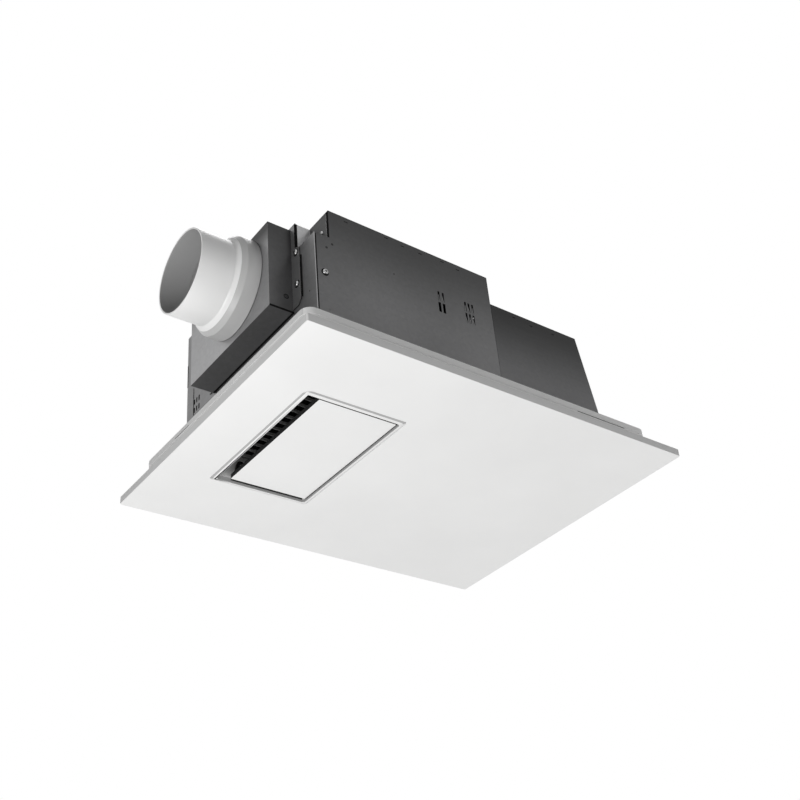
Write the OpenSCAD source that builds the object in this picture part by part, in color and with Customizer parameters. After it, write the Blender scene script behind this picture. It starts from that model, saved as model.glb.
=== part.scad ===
// Ceiling-mounted bathroom ventilation dryer with a side duct adaptor.
// Frame: the ceiling plane is z = 0, +Z points up into the ceiling void, and the
// origin is the centre of the four ceiling screws. The duct leaves towards -X.

/* [Front panel] */
// Length of the front panel along X
panel_l = 500; // [484:1:540]
// Width of the front panel along Y
panel_w = 392; // [362:1:430]
// Thickness of the panel's face plate
panel_t = 2.5; // [2:0.1:3.5]
// Height of the panel's rim
rim_h = 9; // [7:0.5:12]
// Thickness of the panel's rim
rim_t = 3; // [2:0.5:5]
// Corner radius of the panel in plan
panel_r = 2; // [1:0.5:6]
// Distance from the ceiling down to the panel's face
drop = 44; // [43:0.5:52]
// Radius of the posts that plug the panel into the base frame
post_r = 6; // [4:0.5:7]

/* [Base frame] */
// Length of the base frame along X
frame_l = 466; // [458:1:472]
// Width of the base frame along Y
frame_w = 340; // [334:1:350]
// Corner radius of the base frame
frame_r = 12; // [8:1:16]
// Thickness of the plate that lies on the ceiling
frame_plate = 3; // [2:0.5:4]
// Thickness of the skirt
frame_wall = 2.5; // [2:0.5:4]
// Height of the proud band under the ceiling
band_h = 8; // [6:0.5:12]
// Length of each air window in the long sides
window_l = 384; // [360:2:396]
// Drop from the ceiling to the top of each air window
window_top = 12.5; // [11:0.5:14]
// Height of each air window
window_h = 20.5; // [20:0.5:21.5]
// Pitch of the ceiling screws along X
screw_px = 430; // [424:1:436]
// Pitch of the ceiling screws along Y
screw_py = 240; // [200:5:250]
// Diameter of the ceiling screw holes
screw_hole_d = 5.5; // [4.5:0.5:7]

/* [Casing] */
// Length of the casing along X at its foot
casing_l = 396; // [394:1:400]
// Width of the casing along Y
casing_w = 278; // [277:1:288]
// Sheet thickness
sheet = 1; // [0.6:0.1:1.2]
// Height of the low half that holds the fan
low_h = 131.5; // [128:0.5:140]
// Height of the tall half that holds the air box
tall_h = 170.5; // [170:0.5:190]
// Place of the step between the halves along X
step_x = 43.5; // [36:0.5:46]
// Lean of the far end wall over the low half's height
end_lean = 21; // [10:0.5:22]
// Length of the corner notch along X
notch_l = 19.5; // [16:0.5:22]
// Width of the corner notch along Y
notch_w = 35.5; // [30:0.5:37]
// Slit between the notch and the side sheet
notch_slit = 3.5; // [2:0.5:6]
// Width of the lip that is folded inwards at the foot
lip_w = 11; // [9.5:0.5:11]

/* [Duct adaptor] */
// Outer radius of the spigot
duct_r = 49; // [47:0.5:49]
// Wall of the spigot
duct_wall = 2.4; // [2:0.1:3]
// Height of the duct axis above the ceiling
duct_z = 117; // [116.5:0.5:117]
// Sideways place of the duct axis along Y
duct_y = -27; // [-34:0.5:-20]
// Distance from the adaptor box to the spigot's mouth
spigot_l = 67; // [60:0.5:80]
// Radius of the spigot's collar
collar_r = 57.6; // [55:0.2:58]
// Length of the spigot's collar
collar_l = 19; // [14:0.5:22]
// Depth of the adaptor box along X
box_depth = 30; // [24:0.5:40]
// From the duct axis to the box's underside
box_below = 65.5; // [60:0.5:68]
// From the duct axis to the box's top
box_above = 48; // [46:0.5:50]
// From the duct axis to the box's near side
box_near = 69; // [62:0.5:70]
// From the duct axis to the box's far side
box_far = 100; // [70:1:110]

/* [Backdraft shutter] */
// Distance of the shutter from the spigot's mouth
shutter_in = 33; // [30:0.5:36]
// Gap between the shutter and the bore
shutter_gap = 1.2; // [1:0.1:2]
// Height of the shutter's shaft above the duct axis
shutter_up = 8; // [4:0.5:9]
// Radius of the shutter's shaft
shutter_pin_r = 1.5; // [1:0.1:2]

/* [Air outlet] */
// Length of the outlet opening along X
outlet_l = 112; // [108:0.5:113]
// Width of the outlet opening along Y
outlet_w = 182; // [150:1:184]
// Distance from the casing's duct end to the outlet's centre along X
outlet_x = 70.5; // [70:0.5:72]
// Distance from the notch's inner wall to the outlet's centre along Y
outlet_y = 102.5; // [101.5:0.5:103.5]
// Wall of the neck's two ends along Y
trim_w = 4.5; // [3:0.5:6]
// From the neck's opening to the foot of the rim along X
rim_x = 6.2; // [5.5:0.1:7]
// From the neck's opening to the foot of the rim along Y
rim_y = 8; // [6:0.1:8.5]
// Width of the rim from its foot to its opening
rim_wall = 5; // [4:0.5:5]
// Width of the rim's sloping flank
rim_slope = 3.4; // [2:0.2:3.4]
// Height by which the rim stands below the panel's face
rim_proud = 1.6; // [1:0.1:2.5]
// Radius of the rim's corner next to the duct
rim_r = 8; // [4:0.5:10]
// Wall of the outlet neck above the trim
neck_t = 2.5; // [2:0.5:3]
// Open slot between the flap and the trim
slot_w = 15; // [12:0.5:20]
// Gap around the other sides of the flap
flap_gap = 0.8; // [0.6:0.1:1.5]
// Gap at each end of the flap along Y
flap_gap_y = 1.5; // [1:0.1:2]
// Depth of the flap's face behind the panel's
flap_in = 0.8; // [0.4:0.1:1.2]
// Thickness of the flap
flap_t = 2.5; // [2:0.1:3]
// Distance of the flap's pivot from its slot edge
pivot_in = 10.5; // [8:0.5:12]
// Height of the flap's pivot over the panel's face
pivot_up = 18; // [17:0.5:18]
// Radius of the flap's pins
louver_pin_r = 2; // [1.5:0.1:2.5]
// Pitch of the guide vanes
vane_pitch = 13; // [9:0.5:18]
// Thickness of a guide vane
vane_t = 1.2; // [0.8:0.1:2]
// Height of the guide vanes
vane_h = 12; // [8:0.5:14]

/* [Air box] */
// Wall of the air box
air_wall = 2; // [1.5:0.5:2.5]
// Height of the heater chamber above the casing's tray
chamber_h = 55; // [54:0.5:56]
// Gap between the air box and the duct end of the casing
air_gap = 3; // [2:0.5:4]
// Length of the damper plate
damper_l = 101; // [98:0.5:101]
// Thickness of the damper plate
damper_t = 2.5; // [2:0.1:3]
// Radius of the damper's shaft
damper_pin_r = 2; // [1.5:0.1:2.2]

/* [Heater] */
// Height of the heater frame
heater_h = 40; // [34:1:44]
// Depth of the fins along the air path
fin_h = 24; // [16:1:28]
// Pitch of the fins
fin_pitch = 6; // [5:0.5:12]
// Thickness of a fin
fin_t = 0.8; // [0.5:0.1:1.5]
// Width of a heating bar
bar_w = 9; // [6:0.5:12]

/* [Fan] */
// Distance from the casing's far end to the fan's axis along X
fan_x = 108; // [107.5:0.5:110]
// Centre of the fan along Y
fan_y = 12; // [8:0.5:14]
// Outer radius of the wheel
wheel_r = 72; // [66:0.5:72]
// Radial depth of the blades
blade_d = 11.5; // [9:0.5:12]
// Height of the wheel
wheel_h = 54; // [40:1:56]
// Number of blades
blades = 36; // [24:1:48]
// Thickness of a blade
blade_t = 1; // [0.8:0.1:1.5]
// Gap between the wheel and the scroll at the tongue
tongue_gap = 6; // [5:0.5:7]
// Growth of the scroll's radius for each degree
growth = 0.075; // [0.05:0.005:0.075]
// Inner height of the scroll
scroll_h = 63; // [61:0.5:64]
// Throat radius of the bellmouth
bell_r = 57; // [50:0.5:57]
// Radius of the fan motor
motor_r = 50; // [40:1:52]
// Height of the fan motor over its flange
motor_h = 42; // [36:1:46]
// Radius of the motor shaft
shaft_r = 4; // [3:0.5:5]

/* [Filter] */
// Length of the filter along X
filter_l = 169; // [150:1:170]
// Thickness of the filter frame
filter_t = 5; // [4:0.5:6]
// Distance from the ceiling down to the filter's underside
filter_drop = 23.5; // [22:0.5:24]
// Length of the filter's pull tab
tab_l = 34; // [20:1:36]
// Width of the filter's pull tab
tab_w = 50; // [40:1:70]

/* [Controls] */
// Length of the control box along X
control_l = 116; // [100:1:118]
// Height of the control box
control_h = 48; // [40:1:52]
// Radius of the cable hole in the bush
cable_r = 5; // [4:0.5:6]
// Distance from the fan's axis to the cable bush along X
cable_x = 45; // [35:1:50]

/* [Hidden] */
$fn = 48;

// Clearances: a running shaft, two fixed pieces, two pieces that move past each other.
run = 0.05;
seat = 0.2;
free = 0.4;
eps = 0.5;

face_z = -drop;
plate_z = face_z + panel_t;
rim_z = face_z + rim_h;
skirt_z = plate_z + 5.5;
band_step = 0.6;
post_x = frame_l / 2 - frame_wall - post_r - 10.5;
post_y = frame_w / 2 - frame_wall - post_r - 8.5;
socket_t = 2.5;
socket_z = -20;
clip_h = 4;
ring_in = 2;

cx = casing_l / 2;
cy = casing_w / 2;
tall_y0 = -cy + notch_w;
notch_x = -cx + notch_l;
lean = end_lean / low_h;
tray_z = sheet;
tray_t = 2;
floor_z = tray_z + tray_t;
screw_r = 2;
head_r = 3.6;
head_h = 2.4;

out_cx = -cx + outlet_x;
out_cy = tall_y0 + outlet_y;
out_x0 = out_cx - outlet_l / 2;
out_x1 = out_cx + outlet_l / 2;
out_y0 = out_cy - outlet_w / 2;
out_y1 = out_cy + outlet_w / 2;
trim_top = plate_z + 3.5;
pivot_x = out_x0 + slot_w + pivot_in;
pivot_z = face_z + pivot_up;
flap_x0 = out_x0 + slot_w;
flap_x1 = out_x1 - flap_gap;
flap_y0 = out_y0 + flap_gap_y;
flap_y1 = out_y1 - flap_gap_y;
flap_z = face_z + flap_in;
lug_t = 3;
hub_r = 5.5;
vane_z = -13;

fan_cx = cx - fan_x;
cable_cx = fan_cx + cable_x;
tongue_r = wheel_r + tongue_gap;
tongue_a = 200;
exit_a = -90;
scroll_t = 2;
throat_l = 10.5;

air_x0 = -cx + sheet + air_gap;
air_x1 = fan_cx - tongue_r - growth * (tongue_a - 180) - scroll_t - throat_l;
air_y0 = out_y0 - 5 - air_wall;
air_y1 = out_y1 + 4 + air_wall;
air_top = tall_h - sheet - 2.5;
shelf_z = floor_z + chamber_h;
wall_x = out_x1;
damper_x = air_x0 + air_wall + 5;
barrel_r = damper_pin_r + 1.2;
damper_z = shelf_z + air_wall + barrel_r + 0.3;
plate_low = -barrel_r + 0.2;
duct_in_r = duct_r - duct_wall;
seat_r = duct_in_r + 2.4;
seal_w = tall_h - sheet - duct_z - seat_r - 0.5;

box_x1 = -cx;
box_x0 = box_x1 - box_depth;
box_y0 = duct_y - box_near;
box_y1 = duct_y + box_far;
box_z0 = duct_z - box_below;
box_z1 = duct_z + box_above;
mouth_x = box_x0 - spigot_l;
shutter_x = mouth_x + shutter_in;
shutter_z = duct_z + shutter_up;

scroll_y0 = fan_y - tongue_r - growth * (tongue_a - exit_a);
throat_y1 = fan_y - 33;
scroll_z0 = floor_z + scroll_t;
scroll_z1 = scroll_z0 + scroll_h;
cover_z = scroll_z1 + scroll_t;
bell_curve = 13;
bell_t = 1.6;
bell_cz = tray_z + bell_curve - bell_t;
wheel_z1 = scroll_z1 - 3.5;
wheel_z0 = wheel_z1 - wheel_h;
wheel_t = 2;
flange_r = motor_r + 8;
flange_h = 3;

hood_t = 2;
hood_x0 = fan_cx - filter_l / 2 - free - hood_t;
hood_x1 = fan_cx + filter_l / 2 + free + hood_t;
hood_y = cy - lip_w - 2;
filter_z = -filter_drop;
ledge = 5;

control_x0 = fan_cx + 72 - control_l;
control_y0 = fan_y + flange_r + 4;
control_t = 1.2;
cable_z = cover_z + 30;
bush_r = cable_r + 5;

// A block between two corners.
module block(x0, x1, y0, y1, z0, z1) {
    translate([x0, y0, z0]) cube([x1 - x0, y1 - y0, z1 - z0]);
}

// A plate centred on the origin with round corners in plan.
module plate(l, w, r, z0, z1) {
    block(-l / 2 + r, l / 2 - r, -w / 2, w / 2, z0, z1);
    block(-l / 2, l / 2, -w / 2 + r, w / 2 - r, z0, z1);
    for (x = [-1, 1], y = [-1, 1])
        translate([x * (l / 2 - r), y * (w / 2 - r), z0]) cylinder(r = r, h = z1 - z0);
}

// A rod along X, Y or Z between two stations.
module rod_x(r, x0, x1, y, z) {
    translate([x0, y, z]) rotate([0, 90, 0]) cylinder(r = r, h = x1 - x0);
}
module rod_y(r, x, y0, y1, z) {
    translate([x, y0, z]) rotate([-90, 0, 0]) cylinder(r = r, h = y1 - y0);
}
module rod_z(r, x, y, z0, z1) {
    translate([x, y, z0]) cylinder(r = r, h = z1 - z0);
}

// A pan-head screw on the z axis: head above z = 0, thread below.
module screw(len) {
    difference() {
        cylinder(r = head_r, h = head_h);
        for (a = [0, 90]) rotate([0, 0, a])
            translate([-head_r / 2, -0.4, head_h - 1]) cube([head_r, 0.8, 2]);
    }
    translate([0, 0, -len]) cylinder(r = screw_r, h = len);
}

// The four corners of a rectangle.
module corners(x, y) {
    for (sx = [-1, 1], sy = [-1, 1]) translate([sx * x, sy * y, 0]) children();
}

// A profile in the XZ plane, given a thickness between two stations on Y.
module along_y(y0, y1) {
    translate([0, y1, 0]) rotate([90, 0, 0]) linear_extrude(y1 - y0) children();
}

// A profile in the YZ plane, given a thickness between two stations on X.
module along_x(x0, x1) {
    translate([x0, 0, 0]) rotate([90, 0, 90]) linear_extrude(x1 - x0) children();
}

// Plan of the outlet's rim, with a round corner next to the duct.
module rim_block(grow, z0, z1) {
    x0 = out_x0 - rim_x - grow;
    y0 = out_y0 - rim_y - grow;
    r = rim_r + grow;
    difference() {
        block(x0, out_x1 + rim_x + grow, y0, out_y1 + rim_y + grow, z0, z1);
        difference() {
            block(x0 - 1, x0 + r, y0 - 1, y0 + r, z0 - 1, z1 + 1);
            rod_z(r, x0 + r, y0 + r, z0 - 2, z1 + 2);
        }
    }
}

// Front panel with its rim, the collar round the outlet and four plug posts.
module front_panel() {
    gap = seat + 0.1;
    color("white") difference() {
        union() {
            difference() {
                plate(panel_l, panel_w, panel_r, face_z, rim_z);
                block(-panel_l / 2 + rim_t, panel_l / 2 - rim_t,
                    -panel_w / 2 + rim_t, panel_w / 2 - rim_t, plate_z, rim_z + 1);
            }
            corners(post_x, post_y) rod_z(post_r, 0, 0, plate_z - eps, -frame_plate - 2);
            rim_block(gap + 2, plate_z - eps, plate_z + 3);
        }
        rim_block(gap, face_z - 1, plate_z + 4);
    }
}

// Spring rings that hold the panel's posts under the frame's sockets.
module panel_clips() {
    color("silver") corners(post_x, post_y) difference() {
        rod_z(post_r + socket_t - 0.5, 0, 0, socket_z - clip_h, socket_z);
        rod_z(post_r + run, 0, 0, socket_z - clip_h - 1, socket_z + 1);
        block(0, 2 * post_r + socket_t, -1.5, 1.5, socket_z - clip_h - 1, socket_z + 1);
    }
}

// Base frame: ceiling plate, skirt with air windows and the post sockets. A shallow
// groove round the casing's foot keeps the face that meets the ceiling apart from it.
groove_w = 1.2;
groove_d = 0.6;
module base_frame() {
    color("gainsboro") difference() {
        union() {
            difference() {
                union() {
                    plate(frame_l, frame_w, frame_r, -band_h, 0);
                    plate(frame_l - 2 * band_step, frame_w - 2 * band_step,
                        frame_r - band_step, skirt_z, 0);
                }
                plate(frame_l - 2 * frame_wall - 2 * band_step,
                    frame_w - 2 * frame_wall - 2 * band_step,
                    frame_r - frame_wall, skirt_z - 1, -frame_plate);
            }
            corners(post_x, post_y)
                rod_z(post_r + seat + socket_t, 0, 0, socket_z, -frame_plate + eps);
        }
        block(-cx + lip_w - ring_in, cx - lip_w + ring_in,
            -cy + lip_w - ring_in, cy - lip_w + ring_in, -frame_plate - 1, 1);
        block(-window_l / 2, window_l / 2, -frame_w, frame_w,
            -window_top - window_h, -window_top);
        difference() {
            block(-cx - groove_w, cx + groove_w, -cy - groove_w, cy + groove_w, -groove_d, 1);
            block(-cx - seat, cx + seat, -cy - seat, cy + seat, -1, 2);
        }
        corners(post_x, post_y) rod_z(post_r + seat, 0, 0, socket_z - 1, -frame_plate - 1.5);
        corners(screw_px / 2, screw_py / 2)
            rod_z(screw_hole_d / 2, 0, 0, -frame_plate - 1, 1);
        corners(fix_x, fix_y) rod_z(screw_r + seat, 0, 0, -frame_plate - 1, 1);
    }
}

// Places of the screws between the base frame and the casing's lips.
fix_x = 150;
fix_y = cy - lip_w / 2;
module frame_screws() {
    color("silver") corners(fix_x, fix_y)
        translate([0, 0, -frame_plate]) rotate([180, 0, 0]) screw(frame_plate + 6);
}

// Side outline of the tall half and of the low half in the XZ plane.
module tall_side(near) {
    x0 = near ? notch_x : -cx + 1.5;
    polygon([[-cx + 1.5, 0], [step_x, 0], [step_x, tall_h], [x0, tall_h],
        [x0, low_h], [-cx + 1.5, low_h]]);
}
module low_side() {
    polygon([[step_x + free, 0], [cx, 0], [cx - end_lean, low_h], [step_x + free, low_h]]);
}

// One punched slot of a side wall's vents, through the sheet.
module vent(x, z, w, h) {
    block(x - w / 2, x + w / 2, -cy - 1, -cy + sheet + 1, z, z + h);
}
vent_w = 2.6;
vent_h = 13.5;
vent_z = 89.5;
vent_step = 15.5;
vent_pair_x = [-34, -28];
vent_trio_x = [4, 9, 14.3];
end_vent_y = [109.5, 115, 120.5];
end_vent_z = [52.5, 64];
end_vent_h = 7;

// Tall half of the casing: both sides, roof and the step down to the fan half.
module tall_shell() {
    color([0.36, 0.36, 0.37]) difference() {
        union() {
            along_y(-cy, -cy + sheet) tall_side(true);
            along_y(cy - sheet, cy) tall_side(false);
            block(notch_x, step_x, -cy, cy, tall_h - sheet, tall_h);
            block(-cx + sheet, notch_x + eps, tall_y0 + sheet, cy, tall_h - sheet, tall_h);
            block(step_x - sheet, step_x, -cy, cy, low_h, tall_h);
            for (s = [-1, 1]) scale([1, s, 1])
                block(-cx + 1.5, step_x, cy - lip_w, cy, 0, sheet);
        }
        for (x = vent_pair_x) {
            vent(x, vent_z, vent_w + 1, vent_h);
            vent(x, vent_z + vent_step, vent_w, vent_h);
        }
        for (x = vent_trio_x, i = [0, 1])
            vent(x, vent_z + i * vent_step, vent_w, vent_h);
        corners(fix_x, fix_y) rod_z(screw_r + run, 0, 0, -1, sheet + 1);
        for (s = [-1, 1])
            rod_y(screw_r + run, casing_screw_x, s * cy - 2, s * cy + 2, casing_screw_z);
    }
}

// Low half of the casing over the fan: both sides and the roof.
module low_shell() {
    color([0.34, 0.34, 0.35]) difference() {
        union() {
            along_y(-cy, -cy + sheet) low_side();
            along_y(cy - sheet, cy) low_side();
            block(step_x + free, cx - end_lean, -cy, cy, low_h - sheet, low_h);
            for (s = [-1, 1]) scale([1, s, 1])
                block(step_x + free, cx - sheet - free, cy - lip_w, cy, 0, sheet);
        }
        corners(fix_x, fix_y) rod_z(screw_r + run, 0, 0, -1, sheet + 1);
        rod_y(bush_r, cable_cx, cy - 2, cy + 2, cable_z);
    }
}

// Far end wall, which leans inwards, with its foot lip.
module far_end_plate() {
    color([0.33, 0.33, 0.34]) {
        along_y(-cy + sheet, cy - sheet)
            polygon([[cx - sheet, 0], [cx, 0], [cx - end_lean + lean * sheet, low_h - sheet],
                [cx - end_lean + lean * sheet - sheet, low_h - sheet]]);
        block(cx - lip_w, cx - sheet / 2, -cy + lip_w + free, cy - lip_w - free, 0, sheet);
    }
}

// Duct end wall with the hole for the air path and a small vent group.
module duct_end_plate() {
    color([0.42, 0.42, 0.43]) difference() {
        union() {
            along_x(-cx, -cx + sheet)
                polygon([[-cy, 0], [cy, 0], [cy, tall_h], [tall_y0, tall_h],
                    [tall_y0, low_h], [-cy, low_h]]);
            block(-cx, -cx + lip_w, -cy + lip_w + free, cy - lip_w - free, 0, sheet);
            for (s = [-1, 1]) scale([1, s, 1])
                block(-cx, -cx + 12, cy - 2 * sheet, cy - sheet, sheet + free, low_h - 2 * sheet);
        }
        rod_x(seat_r + 1, -cx - 1, -cx + 2, duct_y, duct_z);
        for (y = end_vent_y, z = end_vent_z)
            block(-cx - 1, -cx + 2, y - vent_w / 2, y + vent_w / 2, z, z + end_vent_h);
        for (p = adaptor_screw_at) rod_x(screw_r + run, -cx - 1, -cx + 2, p[0], p[1]);
        for (s = [-1, 1])
            rod_y(screw_r + run, casing_screw_x, s * cy - 4, s * cy + 4, casing_screw_z);
    }
}

// Bright cover that closes the notch in the near corner of the tall half.
module corner_cover() {
    color([0.75, 0.75, 0.75]) difference() {
        corner_sheets();
        rod_x(0.75 * screw_r + run, notch_x - 1, notch_x + 2, notch_screw_y, notch_screw_z);
    }
}
module corner_sheets() {
    union() {
        block(-cx + sheet, notch_x + sheet, tall_y0, tall_y0 + sheet, low_h - sheet, tall_h - sheet);
        block(notch_x, notch_x + sheet, -cy + sheet + notch_slit, tall_y0 + sheet,
            low_h - sheet, tall_h - sheet);
        block(-cx + sheet, notch_x + sheet, -cy + sheet, tall_y0 + sheet,
            low_h - sheet, low_h);
    }
}

// Screws through the side sheets into the flanges of the duct end wall, and the one
// in the notch's end cheek.
casing_screw_x = -cx + 11.5;
casing_screw_z = 81;
notch_screw_y = -cy + 13;
notch_screw_z = low_h + 16;
module casing_screws() {
    color("silver") {
        for (s = [-1, 1]) translate([casing_screw_x, s * cy, casing_screw_z])
            rotate([-90 * s, 0, 0]) screw(5);
        translate([notch_x, notch_screw_y, notch_screw_z]) rotate([0, -90, 0])
            scale(0.75) screw(5);
    }
}

// Tray inside the casing's foot with the fan inlet and the outlet window.
module casing_tray() {
    color([0.55, 0.55, 0.56]) difference() {
        block(-cx + sheet + free, cx - sheet - free - lean * floor_z, -cy + sheet + free,
            cy - sheet - free, tray_z, floor_z);
        rod_z(bell_r + bell_curve, fan_cx, fan_y, tray_z - 1, floor_z + 1);
        block(out_x0, out_x1, out_y0, out_y1, tray_z - 1, floor_z + 1);
        corners(fix_x, fix_y) rod_z(screw_r + seat, 0, 0, tray_z - 1, floor_z + 1);
        for (s = [-1, 1]) scale([1, s, 1])
            block(-cx, -cx + 13, cy - 2 * sheet - free, cy, tray_z - 1, floor_z + 1);
    }
}

// Sheet box that carries the spigot, with its screw flanges on the end wall.
adaptor_screw_at = [[box_y0 - 8.5, duct_z + 10], [box_y0 - 9, duct_z - 33],
    [box_y1 + 8, duct_z + 10], [box_y1 + 8, duct_z - 33]];
module adaptor_flange() {
    polygon([[0, box_z0 + 4], [10, box_z0 + 4], [16, box_z0 + 10], [16, duct_z + 14],
        [7.5, duct_z + 18], [7.5, box_z1], [0, box_z1]]);
}
module adaptor_box() {
    color([0.45, 0.45, 0.46]) difference() {
        union() {
            block(box_x0, box_x1, box_y0, box_y1, box_z0, box_z1);
            along_x(box_x1 - sheet, box_x1) translate([box_y0 + eps, 0]) mirror([1, 0])
                adaptor_flange();
            along_x(box_x1 - sheet, box_x1) translate([box_y1 - eps, 0]) adaptor_flange();
        }
        block(box_x0 + sheet, box_x1 + 1, box_y0 + sheet, box_y1 - sheet,
            box_z0 + sheet, box_z1 - sheet);
        rod_x(duct_r, box_x0 - 1, box_x0 + 2, duct_y, duct_z);
        for (p = adaptor_screw_at) rod_x(screw_r + run, box_x1 - 2, box_x1 + 1, p[0], p[1]);
        for (a = spigot_screw_a) spigot_place(a) cylinder(r = 1.5 + run, h = 10, center = true);
    }
}
module adaptor_screws() {
    color("silver") for (p = adaptor_screw_at)
        translate([box_x1 - sheet, p[0], p[1]]) rotate([0, -90, 0]) screw(5);
}

// White spigot: collar, flare and duct stub turned about the duct axis.
module duct_spigot() {
    c0 = 0;
    c1 = collar_l;
    bore = duct_in_r;
    root_r = duct_r - 1;
    root_l = 8.5;
    color([0.93, 0.93, 0.92]) difference() {
        union() {
            translate([box_x0, duct_y, duct_z]) rotate([0, -90, 0]) rotate_extrude($fn = 96)
                polygon([[duct_r - 1, c0], [collar_r, c0], [collar_r, c1],
                    [duct_r + 3.7, c1 + 4.5], [root_r, c1 + 7.5], [root_r, c1 + root_l],
                    [duct_r, c1 + root_l], [duct_r, spigot_l],
                    [bore, spigot_l], [bore, c1 + 5], [collar_r - duct_wall, c1 - 1],
                    [collar_r - duct_wall, duct_wall], [duct_r - 1, duct_wall]]);
            for (s = [-1, 1])
                rod_y(4, shutter_x, min(s * (bore + 0.3), s * (bore - 4)) + duct_y,
                    max(s * (bore + 0.3), s * (bore - 4)) + duct_y, shutter_z);
        }
        rod_y(shutter_pin_r + run, shutter_x, duct_y - bore - 0.6, duct_y + bore + 0.6,
            shutter_z);
        for (a = spigot_screw_a) spigot_place(a) cylinder(r = 1.5 + run, h = 8, center = true);
    }
}

// Screws inside the collar that hold the spigot on the adaptor box.
spigot_screw_a = [45, 135, 225, 315];
module spigot_place(a) {
    rr = (duct_r + collar_r - duct_wall) / 2 + 0.2;
    translate([box_x0, duct_y + rr * cos(a), duct_z + rr * sin(a)])
        rotate([0, -90, 0]) children();
}
module spigot_screws() {
    color("silver") for (a = spigot_screw_a) spigot_place(a) {
        translate([0, 0, duct_wall]) cylinder(r = 2.4, h = 1.6);
        translate([0, 0, -4]) cylinder(r = 1.5, h = 4 + duct_wall + 0.5);
    }
}

// Backdraft shutter: a disc on a shaft just above the duct axis.
module shutter_disc() {
    color([0.85, 0.85, 0.84]) difference() {
        union() {
            rod_x(duct_in_r - shutter_gap, shutter_x - 0.8, shutter_x + 0.8, duct_y, duct_z);
            rod_y(shutter_pin_r + 1.5, shutter_x, duct_y - 30, duct_y + 30, shutter_z);
        }
        rod_y(shutter_pin_r, shutter_x, duct_y - 60, duct_y + 60, shutter_z);
        for (s = [-1, 1]) translate([shutter_x, duct_y + s * (duct_in_r - 2), shutter_z])
            cube([12, 5.5, 10], center = true);
    }
}
module shutter_shaft() {
    h = duct_in_r + 0.3;
    color("silver") rod_y(shutter_pin_r, shutter_x, duct_y - h, duct_y + h, shutter_z);
}

// Foam seal between the casing's duct end wall and the air box.
module duct_seal() {
    color([0.2, 0.2, 0.2]) difference() {
        rod_x(seat_r + seal_w, -cx + sheet, air_x0, duct_y, duct_z);
        rod_x(seat_r + 1, -cx, air_x0 + 1, duct_y, duct_z);
    }
}

// Air box: joins the scroll to the duct above and to the heater chamber below.
module air_box() {
    w = air_wall;
    color([0.8, 0.82, 0.84]) difference() {
        union() {
            difference() {
                block(air_x0, air_x1, air_y0, air_y1, floor_z, air_top);
                block(air_x0 + w, air_x1 - w, air_y0 + w, air_y1 - w, floor_z + w, air_top - w);
            }
            block(wall_x, wall_x + w, air_y0 + w / 2, air_y1 - w / 2, floor_z + w / 2, shelf_z + w);
            difference() {
                block(air_x0 + w / 2, wall_x + w, air_y0 + w / 2, air_y1 - w / 2,
                    shelf_z, shelf_z + w);
                block(air_x0 + 14, damper_x + damper_l - 6, air_y0 + w + 9, air_y1 - w - 8,
                    shelf_z - 1, shelf_z + w + 1);
            }
            rod_x(seat_r, air_x0 + w / 2, damper_x - plate_low - damper_t - free,
                duct_y, duct_z);
        }
        rod_x(duct_in_r, air_x0 - 1, damper_x, duct_y, duct_z);
        block(out_x0, out_x1, out_y0, out_y1, floor_z - 1, floor_z + w + 1);
        block(air_x1 - w - 1, air_x1 + 1, scroll_y0, throat_y1, scroll_z0, scroll_z1);
        rod_y(damper_pin_r + 2, damper_x, air_y1 - w - 1, air_y1 + 1, damper_z);
        rod_y(damper_pin_r + run, damper_x, air_y0 - 1, air_y0 + w + 1, damper_z);
        gear_screw_place() small_hole(gear_h + w + 1);
    }
}

// Damper plate on its barrel, flat over the heater chamber at rest.
module damper_plate() {
    y0 = air_y0 + air_wall + free + 0.2;
    y1 = air_y1 - air_wall - free - 0.2;
    color([0.7, 0.72, 0.74]) difference() {
        union() {
            block(damper_x, damper_x + damper_l, y0, y1, damper_z + plate_low,
                damper_z + plate_low + damper_t);
            rod_y(barrel_r, damper_x, y0, y1, damper_z);
        }
        rod_y(damper_pin_r, damper_x, y0 - 1, y1 + 1, damper_z);
    }
}
module damper_shaft() {
    color("silver") rod_y(damper_pin_r, damper_x, air_y0 - 8, air_y1, damper_z);
}
module damper_bush() {
    color("ivory") difference() {
        union() {
            rod_y(damper_pin_r + 2, damper_x, air_y1 - air_wall, air_y1, damper_z);
            rod_y(damper_pin_r + 3.5, damper_x, air_y1, air_y1 + 1.5, damper_z);
        }
        rod_y(damper_pin_r + run, damper_x, air_y1 - air_wall - 1, air_y1 + 2, damper_z);
    }
}

// Geared motor on the near side of the air box that turns the damper's shaft.
module damper_motor() {
    x0 = damper_x - 6;
    color([0.25, 0.25, 0.27]) difference() {
        union() {
            block(x0, x0 + 46, air_y0 - gear_h, air_y0, damper_z - 12, damper_z + 28);
            rod_y(17, x0 + 25, air_y0 - 2 * gear_h, air_y0 - gear_h + eps, damper_z + 9);
        }
        rod_y(damper_pin_r + run, damper_x, air_y0 - 9, air_y0 + 1, damper_z);
        gear_screw_place() small_hole(gear_h + 1);
    }
}

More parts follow.
